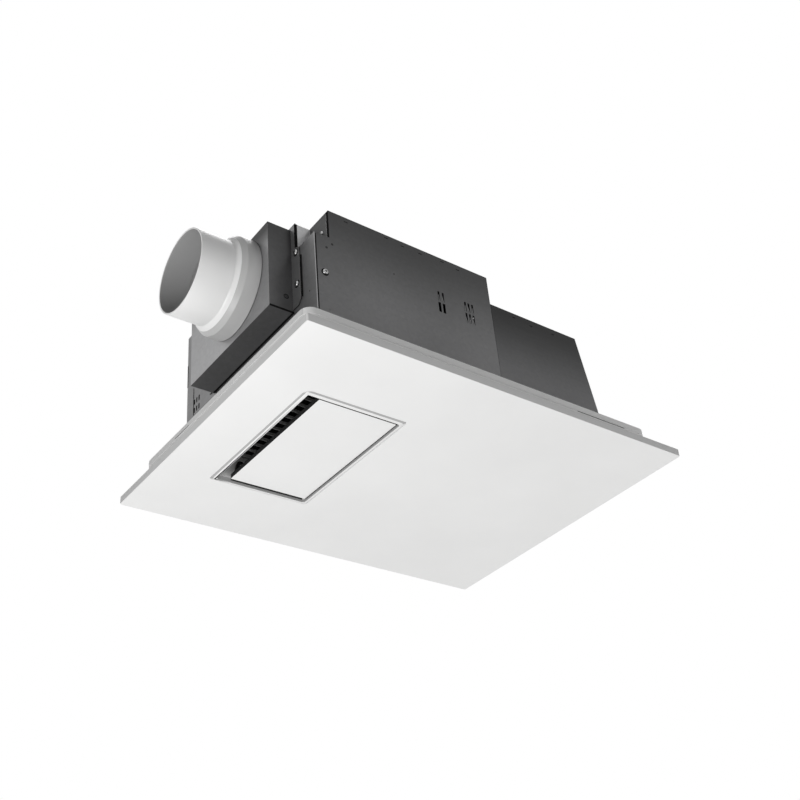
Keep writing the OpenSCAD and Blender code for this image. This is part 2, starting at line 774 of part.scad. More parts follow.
// Heater frame, which stands on the air box's floor around the outlet.
heat_x0 = air_x0 + air_wall + seat;
heat_x1 = wall_x - seat;
heat_y0 = air_y0 + air_wall + seat;
heat_y1 = air_y1 - air_wall - seat;
heat_z0 = floor_z + air_wall;
heat_z1 = heat_z0 + heater_h;
core_x0 = out_x0;
core_x1 = heat_x1 - 8;
core_y0 = out_y0 + 1;
core_y1 = out_y1 - 1;
core_z0 = heat_z0 + (heater_h - fin_h) / 2;
module heater_frame() {
    color([0.15, 0.15, 0.16]) difference() {
        block(heat_x0, heat_x1, heat_y0, heat_y1, heat_z0, heat_z1);
        block(core_x0, core_x1, core_y0, core_y1, heat_z0 - 1, heat_z1 + 1);
    }
}

// Heating bars, end to end inside the frame.
bar_at = [for (i = [0 : 3]) core_x0 + (core_x1 - core_x0) * (i + 0.5) / 4];
module bar(x, grow) {
    block(x - bar_w / 2 - grow, x + bar_w / 2 + grow, core_y0, core_y1,
        core_z0 + 4 - grow, core_z0 + fin_h - 4 + grow);
}
module heater_bars() {
    color([0.6, 0.45, 0.3]) for (x = bar_at) bar(x, 0);
}

// Aluminium fins threaded on the bars.
module heater_fins() {
    n = floor((core_y1 - core_y0 - fin_pitch) / fin_pitch);
    y0 = (core_y0 + core_y1 - n * fin_pitch) / 2;
    color([0.8, 0.8, 0.82]) difference() {
        for (i = [0 : n])
            block(core_x0 + 1, core_x1 - 1, y0 + i * fin_pitch - fin_t / 2,
                y0 + i * fin_pitch + fin_t / 2, core_z0, core_z0 + fin_h);
        for (x = bar_at) bar(x, 0);
    }
}

// Overheat cut-out on top of the heater frame.
module thermal_cutout() {
    color([0.1, 0.1, 0.1]) {
        block(core_x1 + 1, heat_x1 - 1, out_y0 + 22, out_y0 + 42, heat_z1, heat_z1 + 4);
        for (y = [26, 36]) block(core_x1 + 3, heat_x1 - 4, out_y0 + y, out_y0 + y + 2,
            heat_z1 + 4 - eps, heat_z1 + 8);
    }
}

// Row of guide vanes across the outlet neck.
module guide_vanes() {
    x0 = out_x0 + seat;
    x1 = out_x1 - seat;
    y0 = out_y0 + seat;
    y1 = out_y1 - seat;
    n = floor((y1 - y0 - 4) / vane_pitch);
    s = (y0 + y1 - n * vane_pitch) / 2;
    color([0.12, 0.12, 0.12]) {
        difference() {
            block(x0, x1, y0, y1, vane_z, vane_z + vane_h);
            block(x0 + 2, x1 - 2, y0 + 2, y1 - 2, vane_z - 1, vane_z + vane_h + 1);
        }
        for (i = [0 : n])
            block(x0 + 1, x1 - 1, s + i * vane_pitch - vane_t / 2,
                s + i * vane_pitch + vane_t / 2, vane_z, vane_z + vane_h);
    }
}

// Outlet frame: the raised rim with its sloping flanks, and the neck up to the tray.
module rim_flank(s, outer) {
    polygon([[outer + s, face_z], [outer, face_z], [outer - s * rim_slope, face_z - rim_proud],
        [outer - s * rim_slope, face_z - rim_proud - 1], [outer + s, face_z - rim_proud - 1]]);
}
module outlet_frame() {
    color([0.8, 0.8, 0.8]) difference() {
        union() {
            difference() {
                rim_block(0, face_z - rim_proud, trim_top);
                block(out_x0 - rim_x + rim_wall, out_x1 + rim_x - rim_wall,
                    out_y0 - rim_y + rim_wall, out_y1 + rim_y - rim_wall,
                    face_z - rim_proud - 1, face_z + 4);
                along_y(out_y0 - rim_y - 1, out_y1 + rim_y + 1) {
                    rim_flank(-1, out_x0 - rim_x);
                    rim_flank(1, out_x1 + rim_x);
                }
                along_x(out_x0 - rim_x - 1, out_x1 + rim_x + 1) {
                    rim_flank(-1, out_y0 - rim_y);
                    rim_flank(1, out_y1 + rim_y);
                }
            }
            block(out_x0 - neck_t, out_x1 + neck_t, out_y0 - trim_w, out_y1 + trim_w,
                trim_top - eps, tray_z);
        }
        block(out_x0, out_x1, out_y0, out_y1, face_z - 1, tray_z + 1);
        rod_y(louver_pin_r + 2, pivot_x, out_y0 - trim_w - 1, out_y0 + 1, pivot_z);
        rod_y(louver_pin_r + 1, pivot_x, out_y1 - 1, out_y1 + trim_w + 1, pivot_z);
        louver_screw_place() small_hole(ear_t + trim_w - 1);
    }
}

// Flap with turned-up edges and two lugs that carry it on the pivot.
module louver_lug(y0) {
    along_y(y0, y0 + lug_t) difference() {
        union() {
            polygon([[flap_x0 + 2, flap_z + flap_t - eps], [flap_x0 + 34, flap_z + flap_t - eps],
                [pivot_x + hub_r, pivot_z], [pivot_x - hub_r, pivot_z]]);
            translate([pivot_x, pivot_z]) circle(r = hub_r);
        }
        translate([pivot_x, pivot_z]) circle(r = louver_pin_r);
    }
}
module louver_flap() {
    e = 1.5;
    color("white") {
        difference() {
            block(flap_x0, flap_x1, flap_y0, flap_y1, flap_z, flap_z + flap_t + 3);
            block(flap_x0 + e, flap_x1 - e, flap_y0 + e, flap_y1 - e, flap_z + flap_t,
                flap_z + flap_t + 4);
        }
        louver_lug(flap_y0 + e - 0.1);
        louver_lug(flap_y1 - e - lug_t + 0.1);
    }
}
module louver_pin() {
    color("silver") rod_y(louver_pin_r, pivot_x, out_y0 - trim_w, flap_y0 + 6, pivot_z);
}
module louver_bush() {
    color("ivory") difference() {
        rod_y(louver_pin_r + 2, pivot_x, out_y0 - trim_w, out_y0, pivot_z);
        rod_y(louver_pin_r + run, pivot_x, out_y0 - trim_w - 1, out_y0 + 1, pivot_z);
    }
}
module louver_shaft() {
    color("silver") rod_y(louver_pin_r, pivot_x, flap_y1 - 6, out_y1 + trim_w + 8, pivot_z);
}

// Stepping motor on the outlet frame's far end, in line with the pivot.
module louver_motor() {
    y0 = out_y1 + trim_w;
    ear = 3.5;
    color([0.75, 0.75, 0.7]) difference() {
        union() {
            rod_y(12, pivot_x, y0, y0 + 16, pivot_z);
            block(pivot_x - 20, pivot_x + 20, y0, y0 + ear_t, pivot_z - ear, pivot_z + ear);
            block(pivot_x - 8, pivot_x + 8, y0 + 2, y0 + 15, pivot_z + 8, pivot_z + 15);
        }
        rod_y(louver_pin_r + run, pivot_x, y0 - 1, y0 + 9, pivot_z);
        louver_screw_place() small_hole(ear_t + 1);
    }
}

// Bellmouth under the fan inlet, a quarter round turned about the fan axis.
function arc(r, a0, a1, n) = [for (i = [0 : n]) let (a = a0 + (a1 - a0) * i / n)
    [bell_r + bell_curve + r * cos(a), bell_cz + r * sin(a)]];
module bellmouth() {
    r_in = bell_curve;
    r_out = bell_curve - bell_t;
    color([0.9, 0.9, 0.9]) translate([fan_cx, fan_y, 0]) rotate_extrude($fn = 96)
        polygon(concat(arc(r_in, 180, 270, 8), [[bell_r + bell_curve + 8, bell_cz - r_in],
            [bell_r + bell_curve + 8, tray_z]], arc(r_out, 270, 180, 8)));
}

// Spiral of the scroll in plan, and the outline that it makes with its throat.
function spiral(extra) = [for (i = [0 : 29]) let (a = tongue_a + (exit_a - tongue_a) * i / 29)
    [fan_cx + (tongue_r + extra + growth * (tongue_a - a)) * cos(a),
     fan_y + (tongue_r + extra + growth * (tongue_a - a)) * sin(a)]];
function scroll_outline(extra, x1) = concat(spiral(extra), [[x1, scroll_y0 - extra],
    [x1, throat_y1 + extra]]);
module scroll_case() {
    color([0.85, 0.85, 0.86]) difference() {
        translate([0, 0, floor_z]) linear_extrude(scroll_t + scroll_h)
            polygon(scroll_outline(scroll_t, air_x1));
        translate([0, 0, scroll_z0]) linear_extrude(scroll_h + 1)
            polygon(scroll_outline(0, air_x1 - 1));
        rod_z(bell_r + bell_curve - 5, fan_cx, fan_y, floor_z - 1, scroll_z0 + 1);
    }
}
module scroll_cover() {
    color([0.6, 0.6, 0.62]) difference() {
        translate([0, 0, scroll_z1]) linear_extrude(scroll_t)
            polygon(scroll_outline(scroll_t, air_x1));
        rod_z(shaft_r + 6, fan_cx, fan_y, scroll_z1 - 1, cover_z + 1);
        motor_ring() rod_z(screw_r + run, 0, 0, scroll_z1 - 1, cover_z + 1);
    }
}

// Wheel: back plate and hub above, a ring below and forward-curved blades.
module blade() {
    n = 5;
    r0 = wheel_r - blade_d;
    inner = [for (i = [0 : n]) let (u = i / n) [r0 + blade_d * u, 3.2 * u * u]];
    outer = [for (i = [n : -1 : 0]) inner[i] + [0, blade_t]];
    polygon(concat(inner, outer));
}
module wheel_blades() {
    color([0.6, 0.6, 0.62]) translate([fan_cx, fan_y, wheel_z0 + wheel_t])
        for (i = [0 : blades - 1]) rotate([0, 0, 360 * i / blades])
            linear_extrude(wheel_h - 2 * wheel_t) blade();
}
module wheel_plate() {
    color([0.6, 0.6, 0.62]) difference() {
        union() {
            rod_z(wheel_r + 1, fan_cx, fan_y, wheel_z1 - wheel_t, wheel_z1);
            rod_z(shaft_r + 6, fan_cx, fan_y, wheel_z1 - 16, wheel_z1);
        }
        rod_z(shaft_r, fan_cx, fan_y, wheel_z1 - 17, wheel_z1 + 1);
    }
}
module wheel_ring() {
    color([0.6, 0.6, 0.62]) difference() {
        rod_z(wheel_r + 1, fan_cx, fan_y, wheel_z0, wheel_z0 + wheel_t);
        rod_z(wheel_r - blade_d, fan_cx, fan_y, wheel_z0 - 1, wheel_z0 + wheel_t + 1);
    }
}
module impeller_nut() {
    color("silver") difference() {
        translate([fan_cx, fan_y, wheel_z1 - 22]) cylinder(r = shaft_r + 4, h = 6, $fn = 6);
        rod_z(shaft_r, fan_cx, fan_y, wheel_z1 - 23, wheel_z1 - 15);
    }
}
module motor_shaft() {
    color("silver") rod_z(shaft_r, fan_cx, fan_y, wheel_z1 - 26, cover_z + 28);
}

// Fan motor on the scroll's cover, and the screws through its flange.
motor_screw_r = motor_r + 4.5;
module motor_ring() {
    for (a = [30, 150, 270]) translate([fan_cx + motor_screw_r * cos(a),
        fan_y + motor_screw_r * sin(a), 0]) children();
}
module fan_motor() {
    color([0.62, 0.62, 0.6]) difference() {
        union() {
            rod_z(flange_r, fan_cx, fan_y, cover_z, cover_z + flange_h);
            rod_z(motor_r, fan_cx, fan_y, cover_z, cover_z + flange_h + motor_h);
            rod_z(motor_r * 0.55, fan_cx, fan_y, cover_z, cover_z + flange_h + motor_h + 6);
        }
        rod_z(shaft_r + run, fan_cx, fan_y, cover_z - 1, cover_z + 29);
        motor_ring() rod_z(screw_r + run, 0, 0, cover_z - 1, cover_z + flange_h + 1);
    }
}
module motor_screws() {
    color("silver") motor_ring() translate([0, 0, cover_z + flange_h]) {
        cylinder(r = 3.3, h = head_h);
        translate([0, 0, -6]) cylinder(r = screw_r, h = 6.5);
    }
}
module motor_capacitor() {
    color([0.3, 0.3, 0.32]) block(fan_cx - 18, fan_cx + 18, fan_y - flange_r - 20,
        fan_y - flange_r - 2, cover_z, cover_z + 28);
}

// Hood between the tray and the filter, with the ledges that guide the filter.
module filter_hood() {
    x0 = hood_x0;
    x1 = hood_x1;
    z0 = filter_z - 0.3 - hood_t;
    z1 = filter_z + filter_t + 0.3;
    color([0.85, 0.85, 0.84]) {
        difference() {
            block(x0, x1, -hood_y, hood_y, z0, tray_z);
            block(x0 + hood_t, x1 - hood_t, -hood_y + hood_t, hood_y - hood_t, z0 - 1, tray_z + 1);
            block(x0 + hood_t, x1 - hood_t, -hood_y - 1, 0, z0 - 1, z1);
        }
        for (z = [z0, z1]) {
            block(x0 + hood_t - eps, x0 + hood_t + ledge, -hood_y, hood_y - eps, z, z + hood_t);
            block(x1 - hood_t - ledge, x1 - hood_t + eps, -hood_y, hood_y - eps, z, z + hood_t);
        }
    }
}

// Filter frame with cross ribs and its pull tab, and the net that it holds.
filter_y0 = -hood_y - 2;
filter_y1 = hood_y - hood_t - free;
filter_border = 8;
module filter_frame() {
    x0 = fan_cx - filter_l / 2;
    x1 = fan_cx + filter_l / 2;
    b = filter_border;
    z1 = filter_z + filter_t;
    color([0.35, 0.4, 0.5]) difference() {
        union() {
            difference() {
                block(x0, x1, filter_y0, filter_y1, filter_z, z1);
                block(x0 + b, x1 - b, filter_y0 + b, filter_y1 - b, filter_z - 1, z1 + 1);
            }
            for (i = [1 : 3])
                block(x0 + b - eps, x1 - b + eps, filter_y0 + (filter_y1 - filter_y0) * i / 4 - 1.5,
                    filter_y0 + (filter_y1 - filter_y0) * i / 4 + 1.5, filter_z, z1);
            block(fan_cx - 1.5, fan_cx + 1.5, filter_y0 + b - eps, filter_y1 - b + eps, filter_z, z1);
            block(x1 - 6 - tab_w, x1 - 6, filter_y0 - tab_l, filter_y0 + eps, filter_z, z1 - 1.5);
        }
        block(x0 + b - 3, x1 - b + 3, filter_y0 + b - 3, filter_y1 - b + 3,
            filter_z + filter_t / 2 - 0.4, filter_z + filter_t / 2 + 0.4);
    }
}
module filter_mesh() {
    b = filter_border - 3;
    color([0.2, 0.25, 0.35]) block(fan_cx - filter_l / 2 + b, fan_cx + filter_l / 2 - b,
        filter_y0 + b, filter_y1 - b, filter_z + filter_t / 2 - 0.4, filter_z + filter_t / 2 + 0.4);
}

// Control box against the far side wall, its lid, board and terminals.
control_y1 = cy - sheet;
board_x0 = control_x0 + control_t + 4;
board_y0 = control_y0 + control_t + 3;
board_x1 = control_x0 + control_l - control_t - 4;
board_y1 = control_y1 - control_t - 3;
post_h = 5;
board_z = cover_z + control_t + post_h;
board_t = 1.6;
module control_box() {
    t = control_t;
    x1 = control_x0 + control_l;
    color([0.7, 0.7, 0.72]) {
        difference() {
            block(control_x0, x1, control_y0, control_y1, cover_z, cover_z + control_h);
            block(control_x0 + t, x1 - t, control_y0 + t, control_y1 - t, cover_z + t,
                cover_z + control_h + 1);
            rod_y(bush_r, cable_cx, control_y1 - t - 1, control_y1 + 1, cable_z);
        }
        board_screw_place() translate([0, 0, -board_t]) difference() {
            translate([0, 0, -post_h]) cylinder(r = 3, h = post_h);
            small_hole(post_h);
        }
    }
}
module control_cover() {
    t = control_t;
    color([0.66, 0.66, 0.68]) block(control_x0, control_x0 + control_l, control_y0, control_y1,
        cover_z + control_h, cover_z + control_h + t);
}
module control_board() {
    color([0.15, 0.4, 0.2]) difference() {
        block(board_x0, board_x1, board_y0, board_y1, board_z, board_z + board_t);
        board_screw_place() small_hole(board_t + 1);
    }
}
module board_parts() {
    z = board_z + board_t;
    color([0.1, 0.1, 0.12]) {
        for (x = [8, 30]) block(board_x0 + x, board_x0 + x + 18, board_y0 + 6, board_y0 + 18, z, z + 15);
        rod_z(7, board_x0 + 16, board_y0 + 32, z, z + 18);
        block(board_x0 + 30, board_x0 + 50, board_y0 + 24, board_y0 + 42, z, z + 16);
    }
}
module terminal_block() {
    x0 = board_x0 + 58;
    z = board_z + board_t;
    color([0.92, 0.92, 0.88]) difference() {
        block(x0, x0 + 36, board_y0 + 8, board_y0 + 24, z, z + 12);
        for (i = [0 : 3]) rod_z(2.4, x0 + 4.5 + 9 * i, board_y0 + 16, z + 5, z + 13);
    }
}

// Rubber bush where the supply cable enters through the far side wall.
module cable_bush() {
    y1 = cy;
    y0 = control_y1 - control_t;
    color([0.1, 0.1, 0.1]) difference() {
        union() {
            rod_y(bush_r - run, cable_cx, y0 - 1, y1 + 1, cable_z);
            rod_y(bush_r + 2, cable_cx, y1, y1 + 2, cable_z);
            rod_y(bush_r + 2, cable_cx, y0 - 2, y0, cable_z);
        }
        rod_y(cable_r, cable_cx, y0 - 3, y1 + 3, cable_z);
    }
}

// Room sensor clipped under the tray, beside the filter hood.
module room_sensor() {
    x = hood_x0 - 30;
    color([0.9, 0.9, 0.85]) {
        block(x, x + 12, -60, -46, tray_z - 9, tray_z);
        rod_z(2, x + 6, -53, tray_z - 16, tray_z - 9 + eps);
    }
}

// Small screws of the louver motor, the damper motor and the board. Each place puts
// the surface under the head at z = 0.
small_r = 1.5;
ear_t = 1.5;
gear_h = 14;
module louver_screw_place() {
    for (s = [-1, 1]) translate([pivot_x + s * 16, out_y1 + trim_w + ear_t, pivot_z])
        rotate([-90, 0, 0]) children();
}
module gear_screw_place() {
    for (z = [-8, 24]) translate([damper_x + 34, air_y0 - gear_h, damper_z + z])
        rotate([90, 0, 0]) children();
}
module board_screw_place() {
    for (x = [board_x0 + 5, board_x1 - 5], y = [board_y0 + 5, board_y1 - 5])
        translate([x, y, board_z + board_t]) children();
}
module small_hole(depth) {
    translate([0, 0, -depth]) cylinder(r = small_r + run, h = depth + 1);
}
module small_screw(len) {
    cylinder(r = 2.6, h = 1.8);
    translate([0, 0, -len]) cylinder(r = small_r, h = len + eps);
}
module small_screws() {
    color("silver") {
        louver_screw_place() small_screw(ear_t + trim_w - 1.5);
        gear_screw_place() small_screw(gear_h + air_wall - 0.3);
        board_screw_place() small_screw(board_t + 4);
    }
}

front_panel();
panel_clips();
base_frame();
frame_screws();
tall_shell();
low_shell();
far_end_plate();
duct_end_plate();
corner_cover();
casing_screws();
casing_tray();
adaptor_box();
adaptor_screws();
duct_spigot();
spigot_screws();
shutter_disc();
shutter_shaft();
duct_seal();
air_box();
damper_plate();
damper_shaft();
damper_bush();
damper_motor();
heater_frame();
heater_bars();
heater_fins();
thermal_cutout();
guide_vanes();
outlet_frame();
louver_flap();
louver_pin();
louver_bush();
louver_shaft();
louver_motor();
bellmouth();
scroll_case();
scroll_cover();
wheel_plate();
wheel_blades();
wheel_ring();
impeller_nut();
motor_shaft();
fan_motor();
motor_screws();
motor_capacitor();
filter_hood();
filter_frame();
filter_mesh();
control_box();
control_cover();
control_board();
board_parts();
terminal_block();
cable_bush();
room_sensor();
small_screws();
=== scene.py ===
import math

import bmesh
import bpy
from mathutils import Matrix, Vector


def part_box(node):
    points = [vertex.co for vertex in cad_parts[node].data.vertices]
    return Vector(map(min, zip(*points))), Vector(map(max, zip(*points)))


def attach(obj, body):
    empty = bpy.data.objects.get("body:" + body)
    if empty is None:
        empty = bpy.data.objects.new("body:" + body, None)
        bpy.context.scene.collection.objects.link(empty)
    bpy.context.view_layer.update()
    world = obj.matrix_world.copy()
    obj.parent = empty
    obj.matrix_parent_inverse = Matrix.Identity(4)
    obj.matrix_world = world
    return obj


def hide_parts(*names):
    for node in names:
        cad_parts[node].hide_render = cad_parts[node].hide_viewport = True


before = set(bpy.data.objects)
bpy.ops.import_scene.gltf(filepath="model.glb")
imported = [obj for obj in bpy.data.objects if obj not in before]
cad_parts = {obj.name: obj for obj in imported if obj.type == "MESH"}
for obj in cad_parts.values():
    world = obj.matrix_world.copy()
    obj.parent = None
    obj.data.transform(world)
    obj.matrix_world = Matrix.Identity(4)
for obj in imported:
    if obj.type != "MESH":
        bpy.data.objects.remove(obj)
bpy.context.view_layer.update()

scene = bpy.context.scene
scene.view_settings.view_transform = "Standard"


# ---------------------------------------------------------------------------------------------
# The room: the unit hangs 2.2 m over a pale floor, under nothing, so that its casing shows.
# The camera stands below the duct corner and looks up at it, as the photograph does.

ROOM_HEIGHT = 2.2
FLOOR_SIDE = 40
FLOOR_GLOW = 0.55
EYE_PLACE = (-0.7466, -0.9287, -0.7267)

eye = bpy.data.cameras.new("eye")
eye.sensor_width = 36
eye.lens = 54.63
eye.clip_start = 0.01
eye_object = bpy.data.objects.new("eye", eye)
scene.collection.objects.link(eye_object)
forward = Vector((0.52606532, 0.64602486, 0.55308875))
up = Vector((-0.27431779, -0.48669168, 0.82938589))
eye_axes = Matrix((forward.cross(up), up, -forward)).transposed()
eye_object.matrix_world = Matrix.Translation(EYE_PLACE) @ eye_axes.to_4x4()
scene.camera = eye_object

floor_mesh = bmesh.new()
bmesh.ops.create_grid(floor_mesh, x_segments=1, y_segments=1, size=FLOOR_SIDE / 2)
bmesh.ops.translate(floor_mesh, verts=floor_mesh.verts, vec=(0, 0, -ROOM_HEIGHT))
floor_data = bpy.data.meshes.new("floor")
floor_mesh.to_mesh(floor_data)
floor_mesh.free()
floor = bpy.data.objects.new("floor", floor_data)
scene.collection.objects.link(floor)


def wire(tree, source, source_socket, target, target_socket):
    """Joins two nodes of a material or a node group."""
    tree.links.new(source.outputs[source_socket], target.inputs[target_socket])


floor_paint = bpy.data.materials.new("floor_paint")
floor_paint.use_nodes = True
tree = floor_paint.node_tree
shader = tree.nodes["Principled BSDF"]
shader.inputs["Roughness"].default_value = 0.9
place = tree.nodes.new("ShaderNodeTexCoord")
speckle = tree.nodes.new("ShaderNodeTexNoise")
speckle.inputs["Scale"].default_value = 3
tones = tree.nodes.new("ShaderNodeValToRGB")
tones.color_ramp.elements[0].color = (0.86, 0.86, 0.86, 1)
tones.color_ramp.elements[1].color = (0.9, 0.9, 0.9, 1)
wire(tree, place, "Object", speckle, "Vector")
wire(tree, speckle, "Fac", tones, "Fac")
wire(tree, tones, "Color", shader, "Base Color")
wire(tree, tones, "Color", shader, "Emission Color")
shader.inputs["Emission Strength"].default_value = FLOOR_GLOW
floor_data.materials.append(floor_paint)

# The world lights the object softly all round, and is plain white to the camera and in gloss.
AMBIENT = 0.12
world = bpy.data.worlds.new("studio")
scene.world = world
world.use_nodes = True
tree = world.node_tree
backdrop = tree.nodes["Background"]
backdrop.inputs["Color"].default_value = (1, 1, 1, 1)
rays = tree.nodes.new("ShaderNodeLightPath")
shown = (rays, "Is Camera Ray")
for kind in ("Is Transmission Ray", "Is Glossy Ray"):
    either = tree.nodes.new("ShaderNodeMath")
    either.operation = "MAXIMUM"
    wire(tree, *shown, either, 0)
    wire(tree, rays, kind, either, 1)
    shown = (either, 0)
level = tree.nodes.new("ShaderNodeMapRange")
level.inputs["To Min"].default_value = AMBIENT
level.inputs["To Max"].default_value = 1
wire(tree, *shown, level, "Value")
wire(tree, level, "Result", backdrop, "Strength")


def softbox(name, place, aim, side, power):
    """A square lamp at one point that faces another."""
    lamp = bpy.data.lights.new(name, "AREA")
    lamp.shape = "SQUARE"
    lamp.size = side
    lamp.energy = power
    stand = bpy.data.objects.new(name, lamp)
    scene.collection.objects.link(stand)
    stand.location = place
    stand.rotation_euler = (Vector(aim) - Vector(place)).to_track_quat("-Z", "Y").to_euler()
    stand.visible_camera = False


softbox("lamp_below", place=(-0.1, -0.1, -2.0), aim=(0, 0, 0), side=1.8, power=6.6)
softbox("lamp_duct", place=(-1.4, -0.4, -1.3), aim=(-0.2, 0, 0.1), side=0.8, power=6.5)
softbox("lamp_spigot", place=(-0.6, -0.14, -0.28), aim=(-0.27, -0.03, 0.08),
        side=0.16, power=0.55)
softbox("lamp_near", place=(0.7, -2.3, -0.4), aim=(0, -0.17, 0), side=1.4, power=3.5)
softbox("lamp_above", place=(1.3, 1.3, 2.2), aim=(0, 0, 0), side=2.2, power=42)


# ---------------------------------------------------------------------------------------------
# Base frame: moulded in pale grey ABS. It lies on the ceiling round the casing, its long sides
# are open for the room's air, and its sockets take the panel's posts.


def noise_layer(tree, place, scale, detail, stretch=None):
    """A noise texture on Object coordinates, stretched if the grain runs one way."""
    noise = tree.nodes.new("ShaderNodeTexNoise")
    noise.inputs["Scale"].default_value = scale
    noise.inputs["Detail"].default_value = detail
    if stretch:
        turn = tree.nodes.new("ShaderNodeMapping")
        turn.inputs["Scale"].default_value = stretch
        wire(tree, place, "Object", turn, "Vector")
        wire(tree, turn, "Vector", noise, "Vector")
    else:
        wire(tree, place, "Object", noise, "Vector")
    return noise


def scaled(tree, colour, factor):
    """A colour times a factor, each given as a node and one of its outputs."""
    tint = tree.nodes.new("ShaderNodeVectorMath")
    tint.operation = "SCALE"
    wire(tree, *colour, tint, 0)
    wire(tree, *factor, tint, "Scale")
    return tint


def shade_of(tree, given, mask):
    """The given colour made darker or lighter by a noise mask, from Least to Most."""
    factor = tree.nodes.new("ShaderNodeMapRange")
    # Noise seldom goes below 0.3 or above 0.7.
    factor.inputs["From Min"].default_value = 0.3
    factor.inputs["From Max"].default_value = 0.7
    wire(tree, mask, 0, factor, "Value")
    wire(tree, given, "Least", factor, "To Min")
    wire(tree, given, "Most", factor, "To Max")
    return scaled(tree, (given, "Colour"), (factor, "Result"))


def dulled(tree, given, mask, share):
    """The given roughness with a share of a mask added to it."""
    matt = tree.nodes.new("ShaderNodeMath")
    matt.operation = "MULTIPLY_ADD"
    matt.inputs[1].default_value = share
    wire(tree, mask, 0, matt, 0)
    wire(tree, given, "Dull", matt, 2)
    return matt


def start_skin(name, **inputs):
    """A shader group with named inputs that gives a colour, a roughness and a height."""
    group = bpy.data.node_groups.new(name, "ShaderNodeTree")
    for label, value in inputs.items():
        kind = "NodeSocketColor" if isinstance(value, tuple) else "NodeSocketFloat"
        socket = group.interface.new_socket(label, in_out="INPUT", socket_type=kind)
        socket.default_value = value
    for label, kind in (("Colour", "Color"), ("Roughness", "Float"), ("Height", "Float")):
        group.interface.new_socket(label, in_out="OUTPUT", socket_type="NodeSocket" + kind)
    return group, group.nodes.new("NodeGroupInput"), group.nodes.new("NodeGroupOutput")


# The skin of a moulding: a spark-eroded grain too fine to see, and a faint cloudiness.
moulded_skin, given, result = start_skin(
    "moulded_skin", Colour=(0.8, 0.8, 0.8, 1), Least=0.97, Most=1.01, Dull=0.5)
place = moulded_skin.nodes.new("ShaderNodeTexCoord")
cloud = noise_layer(moulded_skin, place, scale=9, detail=3)
grain = noise_layer(moulded_skin, place, scale=900, detail=2)
wire(moulded_skin, shade_of(moulded_skin, given, cloud), 0, result, "Colour")
wire(moulded_skin, dulled(moulded_skin, given, cloud, share=0.12), 0, result, "Roughness")
wire(moulded_skin, grain, 0, result, "Height")


def finish_with(group, name, colour, bump, metallic=0, specular=0.5, **values):
    """A material whose colour, roughness and bump come from a skin group."""
    material = bpy.data.materials.new(name)
    material.use_nodes = True
    tree = material.node_tree
    shader = tree.nodes["Principled BSDF"]
    shader.inputs["Metallic"].default_value = metallic
    shader.inputs["Specular IOR Level"].default_value = specular
    skin = tree.nodes.new("ShaderNodeGroup")
    skin.node_tree = group
    skin.inputs["Colour"].default_value = (*colour, 1)
    for label, value in values.items():
        skin.inputs[label].default_value = value
    relief = tree.nodes.new("ShaderNodeBump")
    relief.inputs["Strength"].default_value = bump
    relief.inputs["Distance"].default_value = 0.0002
    wire(tree, skin, "Colour", shader, "Base Color")
    wire(tree, skin, "Roughness", shader, "Roughness")
    wire(tree, skin, "Height", relief, "Height")
    wire(tree, relief, "Normal", shader, "Normal")
    return material


def piece(mesh, name, body, finishes, stands_for=(), crease=32, pick=None):
    """Turns a bmesh into a named piece that rides on a body and stands for CAD nodes. Edges
    over crease degrees stay sharp. A rule may pick the finish of each face from the face and
    its middle, in mm; otherwise all get the first."""
    if pick:
        for face in mesh.faces:
            middle = face.calc_center_median() * 1000
            face.material_index = finishes.index(pick(face, middle))
    data = bpy.data.meshes.new(name)
    mesh.to_mesh(data)
    mesh.free()
    data.shade_smooth()
    data.set_sharp_from_angle(angle=math.radians(crease))
    for finish in finishes:
        data.materials.append(finish)
    made = bpy.data.objects.new(name, data)
    scene.collection.objects.link(made)
    level = made.modifiers.new("level_faces", "WEIGHTED_NORMAL")
    level.keep_sharp = True
    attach(made, body)
    if stands_for:
        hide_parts(*stands_for)


WELD_WITHIN = 2e-5       # metres
FLAT_WITHIN = 0.6        # degrees


def merged_copy(node):
    """A copy of a CAD node with its triangles merged into whole faces."""
    mesh = bmesh.new()
    mesh.from_mesh(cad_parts[node].data)
    bmesh.ops.remove_doubles(mesh, verts=mesh.verts, dist=WELD_WITHIN)
    bmesh.ops.dissolve_limit(mesh, angle_limit=math.radians(FLAT_WITHIN), verts=mesh.verts,
                             edges=mesh.edges)
    return mesh


def ease(mesh, width, steps=2, least=30, where=None):
    """Rounds a mesh's edges over some degrees, or those of them that a test in mm picks."""
    sharp = [
        edge
        for edge in mesh.edges
        if len(edge.link_faces) == 2
        and edge.calc_face_angle(0) > math.radians(least)
        and (where is None or where(*(v.co * 1000 for v in edge.verts)))
    ]
    bmesh.ops.bevel(
        mesh, geom=sharp, offset=width / 1000, offset_type="OFFSET", segments=steps,
        profile=0.5, affect="EDGES", clamp_overlap=True, material=-1,
    )
    return mesh


pale_abs = finish_with(moulded_skin, "pale_abs", (0.88, 0.88, 0.875), bump=0.06, Dull=0.42)
shadow_abs = finish_with(moulded_skin, "shadow_abs", (0.2, 0.2, 0.2), bump=0.03, Dull=0.7)


def bar(low, high, width=0.1, steps=1):
    """A small block between two corners, in mm, with rounded edges."""
    mesh = bmesh.new()
    bmesh.ops.create_cube(mesh, size=1)
    low, high = Vector(low) / 1000, Vector(high) / 1000
    bmesh.ops.scale(mesh, verts=mesh.verts, vec=high - low)
    bmesh.ops.translate(mesh, verts=mesh.verts, vec=(low + high) / 2)
    return ease(mesh, width, steps)


def joined(meshes):
    """Puts several meshes into one."""
    whole = bmesh.new()
    for mesh in meshes:
        data = bpy.data.meshes.new("part")
        mesh.to_mesh(data)
        mesh.free()
        whole.from_mesh(data)
        bpy.data.meshes.remove(data)
    return whole


